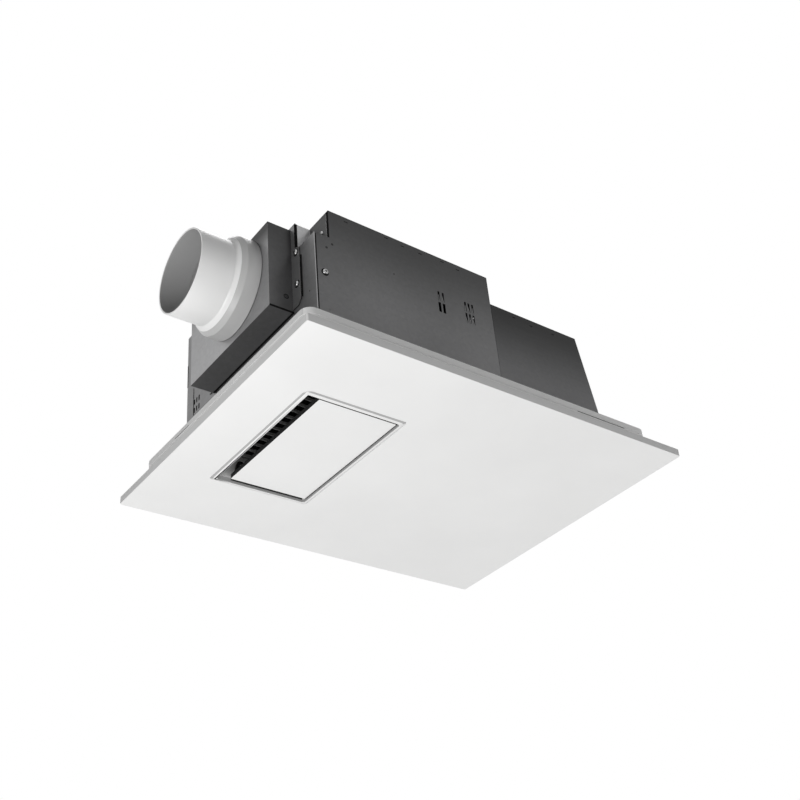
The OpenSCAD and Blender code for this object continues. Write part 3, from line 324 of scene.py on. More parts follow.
# The frame's outer faces, in mm: its ends at plus and minus X, its long sides at Y.
FRAME_END, FRAME_SIDE = 233, 169.4


def is_top_rim(a, b):
    """Picks the edges in the ceiling's plane that lie close to the outer faces."""
    return min(a.z, b.z) > -0.1 and (max(abs(a.x), abs(b.x)) > FRAME_END - 4
                                     or max(abs(a.y), abs(b.y)) > FRAME_SIDE - 3.4)


# A darker copy of the frame's moulding: painted shade on its two short ends.
frame_end_shade_abs = finish_with(moulded_skin, "frame_end_shade_abs", (0.68, 0.68, 0.677), bump=0.06, Dull=0.42)


def frame_finish(face, middle):
    """The two short ends are painted darker than the rest, as shade."""
    is_end = abs(face.normal.x) > 0.9 and abs(middle.x) > FRAME_END - 2
    return frame_end_shade_abs if is_end else pale_abs


frame_moulding = ease(merged_copy("base_frame"), 1.2, 3, where=is_top_rim)
ease(frame_moulding, 0.3, least=50)
piece(frame_moulding, "base_frame_moulding", "unit", [pale_abs, frame_end_shade_abs],
      ["base_frame"], pick=frame_finish)

# Painted shadow: one dark line along each long side, and one on the duct's end.
lines = [bar((123, side * FRAME_SIDE - 0.25, -8.8), (196, side * FRAME_SIDE + 0.25, -8.1))
         for side in (-1, 1)]
lines += [bar((-FRAME_END - 0.2, 66, -6.5), (-FRAME_END + 0.2, 98, -5.7))]
piece(joined(lines), "frame_shadow_lines", "unit", [shadow_abs])


# ---------------------------------------------------------------------------------------------
# Casing: folded from 1 mm galvanised sheet, painted dark as shade on its wide sides, with
# lighter copies painted as light on lit faces and bends. The tall half holds the heater and the
# air box, the low half the fan, and the far end leans inwards.

# The skin of galvanised sheet: faint spangle, long rolling marks, soft tone changes, and a
# factor of painted shade and reflection that goes from Foot to Head between two heights, Start
# and End, in metres.
zinc_skin, given, result = start_skin(
    "zinc_skin", Colour=(0.2, 0.2, 0.2, 1), Least=0.86, Most=1.1, Dull=0.36,
    Foot=1, Head=1, Start=0, End=0.165)
place = zinc_skin.nodes.new("ShaderNodeTexCoord")
drift = noise_layer(zinc_skin, place, scale=6, detail=2)
rolled = noise_layer(zinc_skin, place, scale=60, detail=3, stretch=(0.25, 0.25, 6))
spangle = zinc_skin.nodes.new("ShaderNodeTexVoronoi")
spangle.inputs["Scale"].default_value = 260
wire(zinc_skin, place, "Object", spangle, "Vector")
flake = zinc_skin.nodes.new("ShaderNodeMapRange")
flake.inputs["To Min"].default_value = 0.94
flake.inputs["To Max"].default_value = 1.06
wire(zinc_skin, spangle, "Color", flake, "Value")
height = zinc_skin.nodes.new("ShaderNodeSeparateXYZ")
wire(zinc_skin, place, "Object", height, "Vector")
rise = zinc_skin.nodes.new("ShaderNodeMapRange")
rise.interpolation_type = "SMOOTHSTEP"
wire(zinc_skin, height, "Z", rise, "Value")
for label, bound in (("Start", "From Min"), ("End", "From Max"),
                     ("Foot", "To Min"), ("Head", "To Max")):
    wire(zinc_skin, given, label, rise, bound)
flaked = scaled(zinc_skin, (shade_of(zinc_skin, given, drift), 0), (flake, "Result"))
risen = scaled(zinc_skin, (flaked, 0), (rise, "Result"))
wire(zinc_skin, risen, 0, result, "Colour")
wire(zinc_skin, dulled(zinc_skin, given, rolled, share=0.16), 0, result, "Roughness")
wire(zinc_skin, rolled, 0, result, "Height")

# The wide sides' sheet, painted darker towards the top as shade.
dark_zinc = finish_with(zinc_skin, "dark_zinc", (0.074, 0.074, 0.075), bump=0.05, metallic=0.7,
                        Dull=0.34, Foot=1.68, Head=0.45, Start=0.05, End=0.178)
# A darker copy of the sheet, painted shade on the low half, the far end and the clinch marks, and
# painted darker still towards the top.
shaded_zinc = finish_with(zinc_skin, "shaded_zinc", (0.048, 0.048, 0.049), bump=0.05, metallic=0.7,
                       Dull=0.34, Foot=2.1, Head=0.1, Start=0.02, End=0.135)
# A lighter copy of the same sheet, painted as light: the foot tray, the duct end, the tongues, and
# the adaptor's underside and flanges.
lit_zinc = finish_with(zinc_skin, "lit_zinc", (0.2, 0.2, 0.202), bump=0.05, metallic=0.7,
                        Dull=0.34)
# A still lighter copy of the sheet: a painted highlight on the bends.
bend_highlight_zinc = finish_with(zinc_skin, "bend_highlight_zinc", (0.4, 0.4, 0.405), bump=0.05, metallic=0.6,
                       Dull=0.34)
# The lightest copy of the sheet, painted as light on the corner cover's near faces.
lit_face_zinc = finish_with(zinc_skin, "lit_face_zinc", (0.6, 0.6, 0.605), bump=0.05, metallic=0.4,
                          Dull=0.3)
# Near black and almost without gloss: painted shadow in slots, seams, joints, flange edges and
# round screws.
shadow_black = finish_with(moulded_skin, "shadow_black", (0.008, 0.008, 0.008), bump=0.02, specular=0.05,
                        Dull=0.8)


def rounded(name, node, finish, width=0.3, steps=2, body="unit"):
    """A piece that is its CAD node with rounded edges and one finish."""
    piece(ease(merged_copy(node), width, steps), name, body, [finish], [node])


rounded("tall_casing", "tall_shell", dark_zinc, width=0.35)
rounded("low_casing", "low_shell", shaded_zinc, width=0.35)
rounded("far_end_sheet", "far_end_plate", shaded_zinc)
rounded("foot_tray", "casing_tray", lit_zinc)

# The outer faces of the tall casing, in mm: its long sides at plus and minus Y, and its end.
SIDE_FACE, DUCT_FACE = 139, -198


def is_end_fold(a, b):
    """Picks the upright edges where the duct end's sheet folds round to the sides."""
    upright = abs(a.x - b.x) < 0.01 and abs(a.y - b.y) < 0.01
    return upright and a.x < DUCT_FACE + 0.5 and abs(a.y) > SIDE_FACE - 0.5


def duct_end_finish(face, middle):
    """Painted shadow inside the lanced slots, the sides' darker sheet on the folded flanges, a
    painted highlight on their bends, and a copy painted lighter as light elsewhere.
    """
    if abs(face.normal.x) < 0.9 and 105 < middle.y < 125 and 50 < middle.z < 74:
        return shadow_black
    if abs(face.normal.y) > 0.2 and abs(middle.y) > SIDE_FACE - 1.5:
        return dark_zinc if abs(face.normal.y) > 0.97 else bend_highlight_zinc
    return lit_zinc


duct_end = ease(merged_copy("duct_end_plate"), 0.5, 3, where=is_end_fold)
piece(ease(duct_end, 0.3), "duct_end_sheet", "unit",
      [lit_zinc, bend_highlight_zinc, dark_zinc, shadow_black], ["duct_end_plate"], pick=duct_end_finish)
# The corner cover's near faces take the lightest copy of the sheet, painted as lit.
piece(ease(merged_copy("corner_cover"), 0.3), "corner_sheet", "unit",
      [dark_zinc, lit_face_zinc], ["corner_cover"],
      pick=lambda face, middle: lit_face_zinc if face.normal.y < -0.7 else dark_zinc)

# Steel tongues left in the lanced slots, joined to the sheet at their lower end. Each leans
# out of its slot and is twisted about its foot to one side or the other.
VENT_HEIGHT = 13.5
TONGUE_HALF_WIDTH, TONGUE_THICKNESS = 0.5, 0.9
TONGUE_FOOT, TONGUE_TIP = -6.9, 3       # heights in mm from the middle of the slot
TONGUE_LEAN, TONGUE_TWIST = -5, 4       # degrees
tongues = []
for x, z, way in ((-34, 105, 1), (-28, 105, -1), (4, 89.5, -1), (9, 89.5, 1),
                  (14.3, 89.5, -1), (4, 105, 1), (9, 105, -1), (14.3, 105, 1)):
    tongue = bar((x - TONGUE_HALF_WIDTH, -TONGUE_THICKNESS, TONGUE_FOOT),
                 (x + TONGUE_HALF_WIDTH, 0, TONGUE_TIP), 0.3, 2)
    foot = Matrix.Translation((x / 1000, 0, TONGUE_FOOT / 1000))
    lean = Matrix.Rotation(math.radians(TONGUE_LEAN), 4, "X")
    twist = Matrix.Rotation(math.radians(TONGUE_TWIST * way), 4, "Y")
    bmesh.ops.transform(tongue, matrix=foot @ lean @ twist @ foot.inverted(),
                        verts=tongue.verts)
    bmesh.ops.translate(tongue, verts=tongue.verts,
                        vec=Vector((0, TONGUE_THICKNESS - SIDE_FACE, z + VENT_HEIGHT / 2)) / 1000)
    tongues.append(tongue)
# The tongues take the lighter copy, painted as glints of light.
piece(joined(tongues), "vent_tongues", "unit", [lit_zinc])

# Painted shadow: black bars where shade falls in the seams, at the fold's relief beside the end
# sheet's bend, the slit at the notch, and the lanced tabs along the top edges.
SEAM_EDGE = 0.05        # mm of rounding
seam_shadows = [bar((-196.8, side * SIDE_FACE - 0.15, 1), (-195.7, side * SIDE_FACE + 0.15, 130),
             SEAM_EDGE) for side in (-1, 1)]
seam_shadows += [bar(low, high, SEAM_EDGE) for low, high in (
    ((-178.7, -138.95, 131), (-177.4, -136.6, 169.6)),
    ((-197.9, -103.9, 131.2), (-195.6, -103.3, 169.2)),
    ((-198.15, -103.6, 131.2), (-197.8, -101.7, 169.2)),
    ((-198.15, 137.2, 98), (-197.9, 138.8, 129.5)),
    ((-198.2, 121.9, 50), (-197.9, 123.1, 88)))]
seam_shadows += [bar((x - 2.3, -SIDE_FACE - 0.1, z - 0.45), (x + 2.3, -SIDE_FACE + 0.1, z + 0.45),
              SEAM_EDGE)
          for x, z in ((-155.4, 164.2), (-101.6, 166), (-79.1, 164), (-54.6, 164),
                       (-22.8, 166), (-0.6, 163.5), (78.4, 125.4), (104.7, 123), (139.6, 123.8))]
piece(joined(seam_shadows), "sheet_seam_shadows", "unit", [shadow_black])


def turned(points, centre, axis, steps=96):
    """Spins a closed outline of (along, out) points, in mm, round an axis through a centre."""
    mesh = bmesh.new()
    along = Vector(axis).normalized()
    out = along.orthogonal().normalized()
    corner = [mesh.verts.new((Vector(centre) + along * a + out * r) / 1000) for a, r in points]
    loop = [mesh.edges.new((corner[i - 1], corner[i])) for i in range(len(corner))]
    bmesh.ops.spin(mesh, geom=corner + loop, cent=Vector(centre) / 1000, axis=along,
                   angle=2 * math.pi, steps=steps, use_merge=True)
    bmesh.ops.remove_doubles(mesh, verts=mesh.verts, dist=1e-6)
    bmesh.ops.recalc_face_normals(mesh, faces=mesh.faces)
    return mesh


def dish(place, axis, radius):
    """A shallow pressed dish with a raised rim."""
    return turned([(0, radius), (0.16, radius * 0.85), (0.18, radius * 0.7), (0.02, radius * 0.3),
                   (0, 0.05), (-0.3, 0.05), (-0.3, radius)], place, axis, 24)


# The ways in which the casing's long sides and its duct end face.
NEARWARDS, FARWARDS, DUCTWARDS = (0, -1, 0), (0, 1, 0), (-1, 0, 0)

# Clinch marks of the stiffeners inside, by the corner and at the foot, in the darker copy of the
# sheet as painted shade.
dishes = [dish((x, -SIDE_FACE, z), NEARWARDS, radius) for x, z, radius in (
    (-175.4, 123.7, 1.5), (-182.8, 116.2, 1.5), (-183.2, 33.3, 1.2), (-95.2, 117.3, 0.9))]
dishes += [dish((DUCT_FACE, -126, 60.6), DUCTWARDS, 1.1)]
piece(joined(dishes), "clinch_marks", "unit", [shaded_zinc])


def screw_head(place, axis, radius, height, shank, turn):
    """A pan-head screw: a head with a cross recess, turned some degrees, and its shank."""
    mesh = bmesh.new()
    top = 0.56 * radius
    profile = [(0.01, -shank), (0.5 * radius, -shank), (0.5 * radius, 0), (radius, 0),
               (radius, 0.3 * height), (0.93 * radius, 0.62 * height),
               (0.78 * radius, 0.86 * height), (top, height)]
    made = [mesh.verts.new((r, 0, z)) for r, z in profile]
    line = [mesh.edges.new(pair) for pair in zip(made, made[1:])]
    bmesh.ops.spin(mesh, geom=made + line, cent=(0, 0, 0), axis=(0, 0, 1),
                   angle=2 * math.pi, steps=24, use_merge=True)
    bmesh.ops.remove_doubles(mesh, verts=mesh.verts, dist=1e-4)
    rim = [e for e in mesh.edges if e.is_boundary
           and all(abs(v.co.z - height) < 1e-3 for v in e.verts)]
    # The cross recess: the length of an arm, half its width, and its depth.
    arm, slot, depth = 0.46 * radius, 0.13 * radius, 0.55 * height
    corners = []
    for quarter in range(4):
        spin = Matrix.Rotation(math.radians(90 * quarter + turn), 3, "Z")
        corners += [mesh.verts.new(spin @ Vector(p)) for p in (
            (arm, -slot, height), (arm, slot, height), (slot, slot, height))]
    cross = [mesh.edges.new((corners[i - 1], corners[i])) for i in range(len(corners))]
    bmesh.ops.bridge_loops(mesh, edges=rim + cross)
    sunk = bmesh.ops.extrude_edge_only(mesh, edges=cross)["geom"]
    low = [g for g in sunk if isinstance(g, bmesh.types.BMVert)]
    bmesh.ops.translate(mesh, verts=low, vec=(0, 0, -depth))
    bmesh.ops.contextual_create(mesh, geom=low)
    bmesh.ops.holes_fill(mesh, edges=[e for e in mesh.edges if e.is_boundary], sides=0)
    bmesh.ops.recalc_face_normals(mesh, faces=mesh.faces)
    aim = Vector(axis).to_track_quat("Z", "Y").to_matrix().to_4x4()
    scale = Matrix.Scale(0.001, 4)
    bmesh.ops.transform(mesh, matrix=Matrix.Translation(Vector(place) / 1000) @ aim @ scale,
                        verts=mesh.verts)
    return mesh


def ring(place, axis, inner, outer, rise=0.3, slope=0.3):
    """A thin flat ring with sloping flanks that lies on a face."""
    return turned([(0, inner), (rise, inner + slope), (rise, outer - slope), (0, outer)],
                  place, axis, 32)


# Casing screws: zinc-plated tapping screws, those of the sides ringed in black as painted shadow.
plated = finish_with(zinc_skin, "plated", (0.42, 0.42, 0.42), bump=0.03, metallic=1, Dull=0.16)
casing_fixings = [((-186.5, -SIDE_FACE, 81), NEARWARDS, 3.4),
                  ((-186.5, SIDE_FACE, 81), FARWARDS, 3.4),
                  ((-177.9, -126, 147.5), DUCTWARDS, 2.5)]
piece(joined([screw_head(at, out, radius, height=2.3, shank=3, turn=20)
              for at, out, radius in casing_fixings]),
      "casing_screw_set", "unit", [plated], ["casing_screws"])
piece(joined([ring(at, out, 2.6, 4.6) for at, out, _ in casing_fixings[:2]]),
      "screw_hole_shadows", "unit", [shadow_black])


# ---------------------------------------------------------------------------------------------
# Duct adaptor: a folded box of galvanised sheet on the duct end, screwed through its two
# flanges. Its wide face carries the spigot.

# A painted reflection on the face round the spigot: the sheet darkens towards its top.
painted_reflection_zinc = finish_with(zinc_skin, "painted_reflection_zinc", (0.37, 0.37, 0.375), bump=0.05, metallic=0.6,
                          Dull=0.34, Foot=0.95, Head=0.03, Start=0.12, End=0.16)


def adaptor_finish(face, middle):
    """Painted reflection, darker towards the top, on the face round the spigot; painted shadow
    at the flanges' edges; a copy painted lighter as light on the flanges and the underside; and a
    painted highlight on the bends."""
    normal = face.normal
    if normal.x < -0.7 and middle.x < -220:
        return painted_reflection_zinc
    if middle.x > -200 and abs(normal.x) < 0.5 and face.calc_area() < 2e-4:
        return shadow_black
    if normal.z < -0.7 or normal.x < -0.97:
        return lit_zinc
    if max(abs(normal.x), abs(normal.y)) < 0.97 and abs(normal.z) < 0.3:
        return bend_highlight_zinc
    return dark_zinc


piece(ease(merged_copy("adaptor_box"), 0.35), "adaptor_casing", "unit",
      [dark_zinc, painted_reflection_zinc, lit_zinc, shadow_black, bend_highlight_zinc], ["adaptor_box"],
      pick=adaptor_finish)

# Painted shadow: black bars at the lap joint round the adaptor's underside, and in the gap behind
# the flange's edge.
lap_shadows = [bar((-227.8, -96.3, 51.1), (-198.2, -95.4, 53)),
        bar((-199.3, -114.1, 62), (-198.1, -112.8, 118)),
        bar((-200.4, -96, 51.1), (-198.1, 72, 52))]
piece(joined(lap_shadows), "adaptor_lap_shadows", "unit", [shadow_black])

# A clinch mark by its lower edge, in the darker copy of the sheet as painted shade, ringed in
# black as painted shadow.
clinch = (-207.3, -96, 70.4)
piece(dish(clinch, NEARWARDS, 2.2), "adaptor_clinch", "unit", [shaded_zinc])
piece(ring(clinch, NEARWARDS, 2.3, 3.1, rise=0.2, slope=0.1),
      "adaptor_clinch_shadow_ring", "unit", [shadow_black])


def screws(places, axis, radius, height, shank, turn=0, step=0):
    """Screws along one axis, each with its cross turned a step further than the last."""
    return joined([screw_head(at, axis, radius, height, shank, turn + step * i)
                   for i, at in enumerate(places)])


adaptor_fixings = [(-199, y, z) for y in (-105, 81) for z in (127, 84)]
# Black rings of painted shadow round the adaptor's screws.
piece(joined([ring(at, DUCTWARDS, 2.6, 4.5) for at in adaptor_fixings]),
      "adaptor_hole_shadows", "unit", [shadow_black])
piece(screws(adaptor_fixings, DUCTWARDS, 3.4, height=2.3, shank=3, turn=10, step=25),
      "adaptor_screw_set", "unit", [plated], ["adaptor_screws"])


# ---------------------------------------------------------------------------------------------
# Spigot: white polypropylene, turned smooth, with a stepped collar against the adaptor, and a
# light shutter on a steel shaft that swings open in the outgoing air.

white_pp = finish_with(moulded_skin, "white_pp", (0.84, 0.84, 0.835), bump=0.03, Dull=0.26)
# Darker copies of the white plastic, painted shade: the collar lies in the panel's shadow, the
# bore is shaded inside.
collar_shade_pp = finish_with(moulded_skin, "collar_shade_pp", (0.52, 0.52, 0.517), bump=0.03, Dull=0.34)
bore_shade_pp = finish_with(moulded_skin, "bore_shade_pp", (0.37, 0.37, 0.37), bump=0.03, Dull=0.4)

# The duct's axis runs along X through this point of the adaptor's face, in mm.
DUCT_X, DUCT_Y, DUCT_Z = -228, -27, 117


def spigot_finish(face, middle):
    """Painted shade: grey in the bore and darker on the collar; white between them."""
    reach = math.hypot(middle.y - DUCT_Y, middle.z - DUCT_Z)
    return bore_shade_pp if reach < 47 else collar_shade_pp if reach > 54 else white_pp


spigot = turned(
    [(0.3, 48.2), (0.3, 57.0), (0.9, 57.6), (16.4, 57.3), (17.2, 57.0), (22.6, 53.4),
     (23.4, 52.6), (24.4, 50.8), (25.6, 49.4), (26.6, 48.6), (27.4, 48.3), (27.6, 48.9),
     (27.9, 49.0), (66.2, 49.0), (66.8, 48.7), (66.98, 47.9), (66.8, 47.0), (66.2, 46.6),
     (24, 46.6), (18, 54.6), (2.4, 55.2), (2.4, 48.2)],
    (DUCT_X, DUCT_Y, DUCT_Z), DUCTWARDS)
piece(spigot, "duct_spigot_turned", "unit", [white_pp, bore_shade_pp, collar_shade_pp],
      ["duct_spigot"], crease=40, pick=spigot_finish)

# The shutter is painted a dark grey as the shade inside the bore.
shutter_shade_pp = finish_with(moulded_skin, "shutter_shade_pp", (0.28, 0.28, 0.28), bump=0.03, Dull=0.36)
rounded("backdraft_shutter", "shutter_disc", shutter_shade_pp, width=0.25, body="shutter")

# Ground and turned steel: fine rings across the length, with a low even gloss.
turned_skin, given, result = start_skin(
    "turned_skin", Colour=(0.6, 0.6, 0.6, 1), Least=0.9, Most=1.06, Dull=0.2)
place = turned_skin.nodes.new("ShaderNodeTexCoord")
rings = turned_skin.nodes.new("ShaderNodeTexWave")
rings.inputs["Scale"].default_value = 900
rings.inputs["Distortion"].default_value = 2
wire(turned_skin, place, "Object", rings, "Vector")
cloud = noise_layer(turned_skin, place, scale=40, detail=3)
wire(turned_skin, shade_of(turned_skin, given, cloud), 0, result, "Colour")
wire(turned_skin, dulled(turned_skin, given, cloud, share=0.12), 0, result, "Roughness")
wire(turned_skin, rings, "Fac", result, "Height")

ground_steel = finish_with(turned_skin, "ground_steel", (0.62, 0.62, 0.63), bump=0.05, metallic=1)


def shaft(name, node, body, axis, chamfer=0.4):
    """A turned shaft with chamfered ends that fills its CAD node's box along one axis."""
    low, high = (Vector(p) * 1000 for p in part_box(node))
    length = (high - low)[axis]
    radius = min((high - low)[i] for i in range(3) if i != axis) / 2
    start = (low + high) / 2
    start[axis] = low[axis]
    along = [i == axis for i in range(3)]
    outline = [(0, 0.02), (0, radius - chamfer), (chamfer, radius), (length - chamfer, radius),
               (length, radius - chamfer), (length, 0.02)]
    piece(turned(outline, start, along, 32), name, body, [ground_steel], [node])


Y, Z = 1, 2
shaft("shutter_rod", "shutter_shaft", "shutter", Y)
spigot_fixings = [(DUCT_X - 2.4, DUCT_Y + across, DUCT_Z + rise)
                  for across in (-37, 37) for rise in (-37, 37)]
piece(screws(spigot_fixings, DUCTWARDS, 2.4, height=1.6, shank=5.5, step=15),
      "spigot_screw_set", "unit", [plated], ["spigot_screws"])

# Closed-cell foam: fine pores in black, dull all over.
foam_skin, given, result = start_skin("foam_skin", Colour=(0.05, 0.05, 0.05, 1), Dull=0.9)
place = foam_skin.nodes.new("ShaderNodeTexCoord")
pores = foam_skin.nodes.new("ShaderNodeTexVoronoi")
pores.inputs["Scale"].default_value = 900
wire(foam_skin, place, "Object", pores, "Vector")
wire(foam_skin, given, "Colour", result, "Colour")
wire(foam_skin, given, "Dull", result, "Roughness")
wire(foam_skin, pores, "Distance", result, "Height")
foam = finish_with(foam_skin, "foam", (0.035, 0.035, 0.035), bump=0.5)


def coat(node, finish):
    """Gives a carried-over CAD node its finish."""
    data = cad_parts[node].data
    data.materials.clear()
    data.materials.append(finish)


coat("duct_seal", foam)


# ---------------------------------------------------------------------------------------------
# Front panel: one white ABS moulding with a rim, an opening for the outlet's trim and four
# posts that plug into the base frame, held by spring-steel rings.

white_abs = finish_with(moulded_skin, "white_abs", (0.8, 0.8, 0.795), bump=0.05, Dull=0.4)


def upright_at(x, y, reach=1.2):
    """Picks the upright and the leaning edges near one corner in plan."""
    return lambda a, b: abs(a.z - b.z) > 0.4 and all(
        abs(p.x - x) < reach and abs(p.y - y) < reach for p in (a, b))


# All but one of the opening's corners are rounded.
panel = merged_copy("front_panel")
for x, y in ((-65.0, -100.3), (-65.0, 98.3), (-190.0, 98.3)):
    ease(panel, 3.5, 5, where=upright_at(x, y))
ease(panel, 0.5, least=50)
# Darker copies of the white moulding: painted shade on the rim's upright faces.
long_rim_shade_abs = finish_with(moulded_skin, "long_rim_shade_abs", (0.66, 0.66, 0.658), bump=0.05, Dull=0.5)
short_rim_shade_abs = finish_with(moulded_skin, "short_rim_shade_abs", (0.58, 0.58, 0.578), bump=0.05, Dull=0.45)


def panel_finish(face, middle):
    """The outer rim is painted darker than the face as shade: one grey along the sides, one on the
    ends.
    """
    if abs(face.normal.y) > 0.97 and abs(middle.y) > 190:
        return long_rim_shade_abs
    if abs(face.normal.x) > 0.97 and abs(middle.x) > 244:
        return short_rim_shade_abs
    return white_abs


piece(panel, "front_panel_moulding", "unit", [white_abs, long_rim_shade_abs, short_rim_shade_abs],
      ["front_panel"], pick=panel_finish)

spring_steel = finish_with(turned_skin, "spring_steel", (0.45, 0.44, 0.42), bump=0.05, metallic=1)
rounded("panel_spring_rings", "panel_clips", spring_steel)
frame_fixings = [(x, y, -3) for x in (-150, 150) for y in (-133.5, 133.5)]
piece(screws(frame_fixings, (0, 0, -1), 3.6, height=2.4, shank=9, step=12),
      "frame_screw_set", "unit", [plated], ["frame_screws"])


# ---------------------------------------------------------------------------------------------
# Outlet: a white trim moulding whose rim stands a little proud of the panel, dark vanes over
# it, and the white flap that turns on two lugs inside it, driven by a stepping motor.

trim_abs = finish_with(moulded_skin, "trim_abs", (0.79, 0.79, 0.785), bump=0.05, Dull=0.36)
# A grey copy of the trim's white: painted shade on the walls and slopes turned from the lamps.
flank_shade_abs = finish_with(moulded_skin, "flank_shade_abs", (0.4, 0.4, 0.398), bump=0.05, Dull=0.4)
# Near black: painted shadow in the outlet's neck, on the vanes' upper parts and on the flap's
# inner side.
shade_black_abs = finish_with(moulded_skin, "shade_black_abs", (0.02, 0.02, 0.02), bump=0.05, specular=0.2,
                          Dull=0.5)
vane_abs = finish_with(moulded_skin, "vane_abs", (0.4, 0.4, 0.4), bump=0.05, Dull=0.4)


def score(mesh, place, axis):
    """Cuts a mesh's faces along a plane through a point in mm, and keeps both sides."""
    bmesh.ops.bisect_plane(mesh, geom=mesh.verts[:] + mesh.edges[:] + mesh.faces[:],
                           dist=1e-6, plane_co=Vector(place) / 1000, plane_no=axis)


# Where the trim's shading changes, in mm: the lower and the upper end of its wall, and the
# place along its far wall where the black neck ends.
WALL_LOW, WALL_HIGH, NECK_END_X = -44.8, -42.2, -166


def trim_finish(face, middle):
    """Painted shadow black at the slot's neck, and painted shade grey on the walls and slopes
    that face the duct and the near side."""
    x, y, z = middle
    normal = face.normal
    to_duct, to_near = normal.x < -0.9, normal.y < -0.9
    if WALL_HIGH < z < -40.1 and (to_duct and x > -71 or to_near and y > 92 and x > NECK_END_X):
        return shade_black_abs
    grey = (
        # The slot's end wall, its far wall, and the rounded corner between them.
        z < WALL_HIGH and to_duct and -71 < x < -69,
        z < WALL_HIGH and to_near and 92 < y < 94 and x > NECK_END_X,
        z < WALL_HIGH and normal.x + normal.y < -1.15 and x > -76 and y > 86,
        # The far wall beside the flap's duct end.
        z > WALL_LOW and to_near and y > 90 and x < NECK_END_X,
        # The rim's outer slope on the duct's side and on the near side.
        WALL_LOW < z < WALL_LOW + 1 and min(normal.x, normal.y) < -0.15
        and (x < -186 or y < -96),
        # The ledge above the flap.
        -41 < z < -39 and normal.z < -0.9,
    )
    return flank_shade_abs if any(grey) else trim_abs


trim = merged_copy("outlet_frame")
for x, y in ((-65.3, -100), (-65.3, 98), (-189.7, 98)):
    ease(trim, 3.5, 5, where=upright_at(x, y, 7))
ease(trim, 0.45, 3, least=20, where=lambda a, b: a.z < -43 and b.z < -43)
ease(trim, 0.3, least=50, where=lambda a, b: a.z > -43 and b.z > -43)
score(trim, (0, 0, WALL_HIGH), (0, 0, 1))
score(trim, (0, 0, WALL_LOW), (0, 0, 1))
score(trim, (NECK_END_X, 0, 0), (1, 0, 0))
piece(trim, "outlet_trim", "unit", [trim_abs, flank_shade_abs, shade_black_abs],
      ["outlet_frame"], pick=trim_finish)

# Only the vanes' lower 3.5 mm catch light; above them the neck and the vanes are painted black as
# shade.
vanes = ease(merged_copy("guide_vanes"), 0.25)
lit = min(v.co.z for v in vanes.verts) * 1000 + 3.5
score(vanes, (0, 0, lit), (0, 0, 1))
piece(vanes, "outlet_vanes", "unit", [vane_abs, shade_black_abs], ["guide_vanes"],
      pick=lambda face, middle: shade_black_abs if middle.z > lit else vane_abs)


def flap_finish(face, middle):
    """The flap's inner side and the edge that faces the duct are painted black as shade."""
    return shade_black_abs if face.normal.x < -0.6 or middle.z > -41 else white_abs


piece(ease(merged_copy("louver_flap"), 0.4, least=50), "outlet_flap", "louver",
      [white_abs, shade_black_abs], ["louver_flap"], pick=flap_finish)

shaft("louver_pivot_pin", "louver_pin", "louver", Y)
shaft("louver_drive_shaft", "louver_shaft", "louver", Y)
acetal = finish_with(moulded_skin, "acetal", (0.82, 0.82, 0.74), bump=0.03, Dull=0.3)
coat("louver_bush", acetal)
motor_can = finish_with(zinc_skin, "motor_can", (0.55, 0.55, 0.5), bump=0.04, metallic=1,
                        Dull=0.22)
rounded("louver_stepper", "louver_motor", motor_can, width=0.5, steps=3)


# ---------------------------------------------------------------------------------------------
# Air box: a grey polypropylene duct over the outlet. Its damper sends the air up to the spigot
# or down through the heater, and a geared motor turns it.

# Painted near black as the shade inside the casing, seen through the side vents.
box_shade_pp = finish_with(moulded_skin, "box_shade_pp", (0.09, 0.09, 0.092), bump=0.05, Dull=0.44)
rounded("air_box_moulding", "air_box", box_shade_pp, width=0.4)
damper_pp = finish_with(moulded_skin, "damper_pp", (0.4, 0.4, 0.4), bump=0.05, Dull=0.4)
rounded("damper_vane", "damper_plate", damper_pp, width=0.4, body="damper")
shaft("damper_rod", "damper_shaft", "damper", Y)
coat("damper_bush", acetal)
gear_case = finish_with(moulded_skin, "gear_case", (0.05, 0.05, 0.052), bump=0.05, Dull=0.38)
rounded("damper_gear_motor", "damper_motor", gear_case, width=0.8, steps=3)


# ---------------------------------------------------------------------------------------------
# Heater: insulated aluminium bars with pressed-on fins in a heat-proof frame, behind an
# overheat cut-out on the chamber's wall.

heat_proof = finish_with(moulded_skin, "heat_proof", (0.09, 0.08, 0.075), bump=0.08, Dull=0.55)
rounded("heater_support", "heater_frame", heat_proof, width=0.5)
bar_coat = finish_with(turned_skin, "bar_coat", (0.5, 0.36, 0.22), bump=0.08, metallic=0.5,
                       Dull=0.4)
coat("heater_bars", bar_coat)
bare_aluminium = finish_with(zinc_skin, "bare_aluminium", (0.8, 0.81, 0.83), bump=0.05, metallic=1,
                             Dull=0.2)
coat("heater_fins", bare_aluminium)
phenolic = finish_with(moulded_skin, "phenolic", (0.04, 0.035, 0.03), bump=0.05, Dull=0.32)
rounded("overheat_cutout", "thermal_cutout", phenolic, width=0.4)


# ---------------------------------------------------------------------------------------------
# Fan: a sheet-steel wheel with forward-curved blades in a moulded scroll, drawn up through a
# bellmouth, and turned by a painted induction motor with its run capacitor.

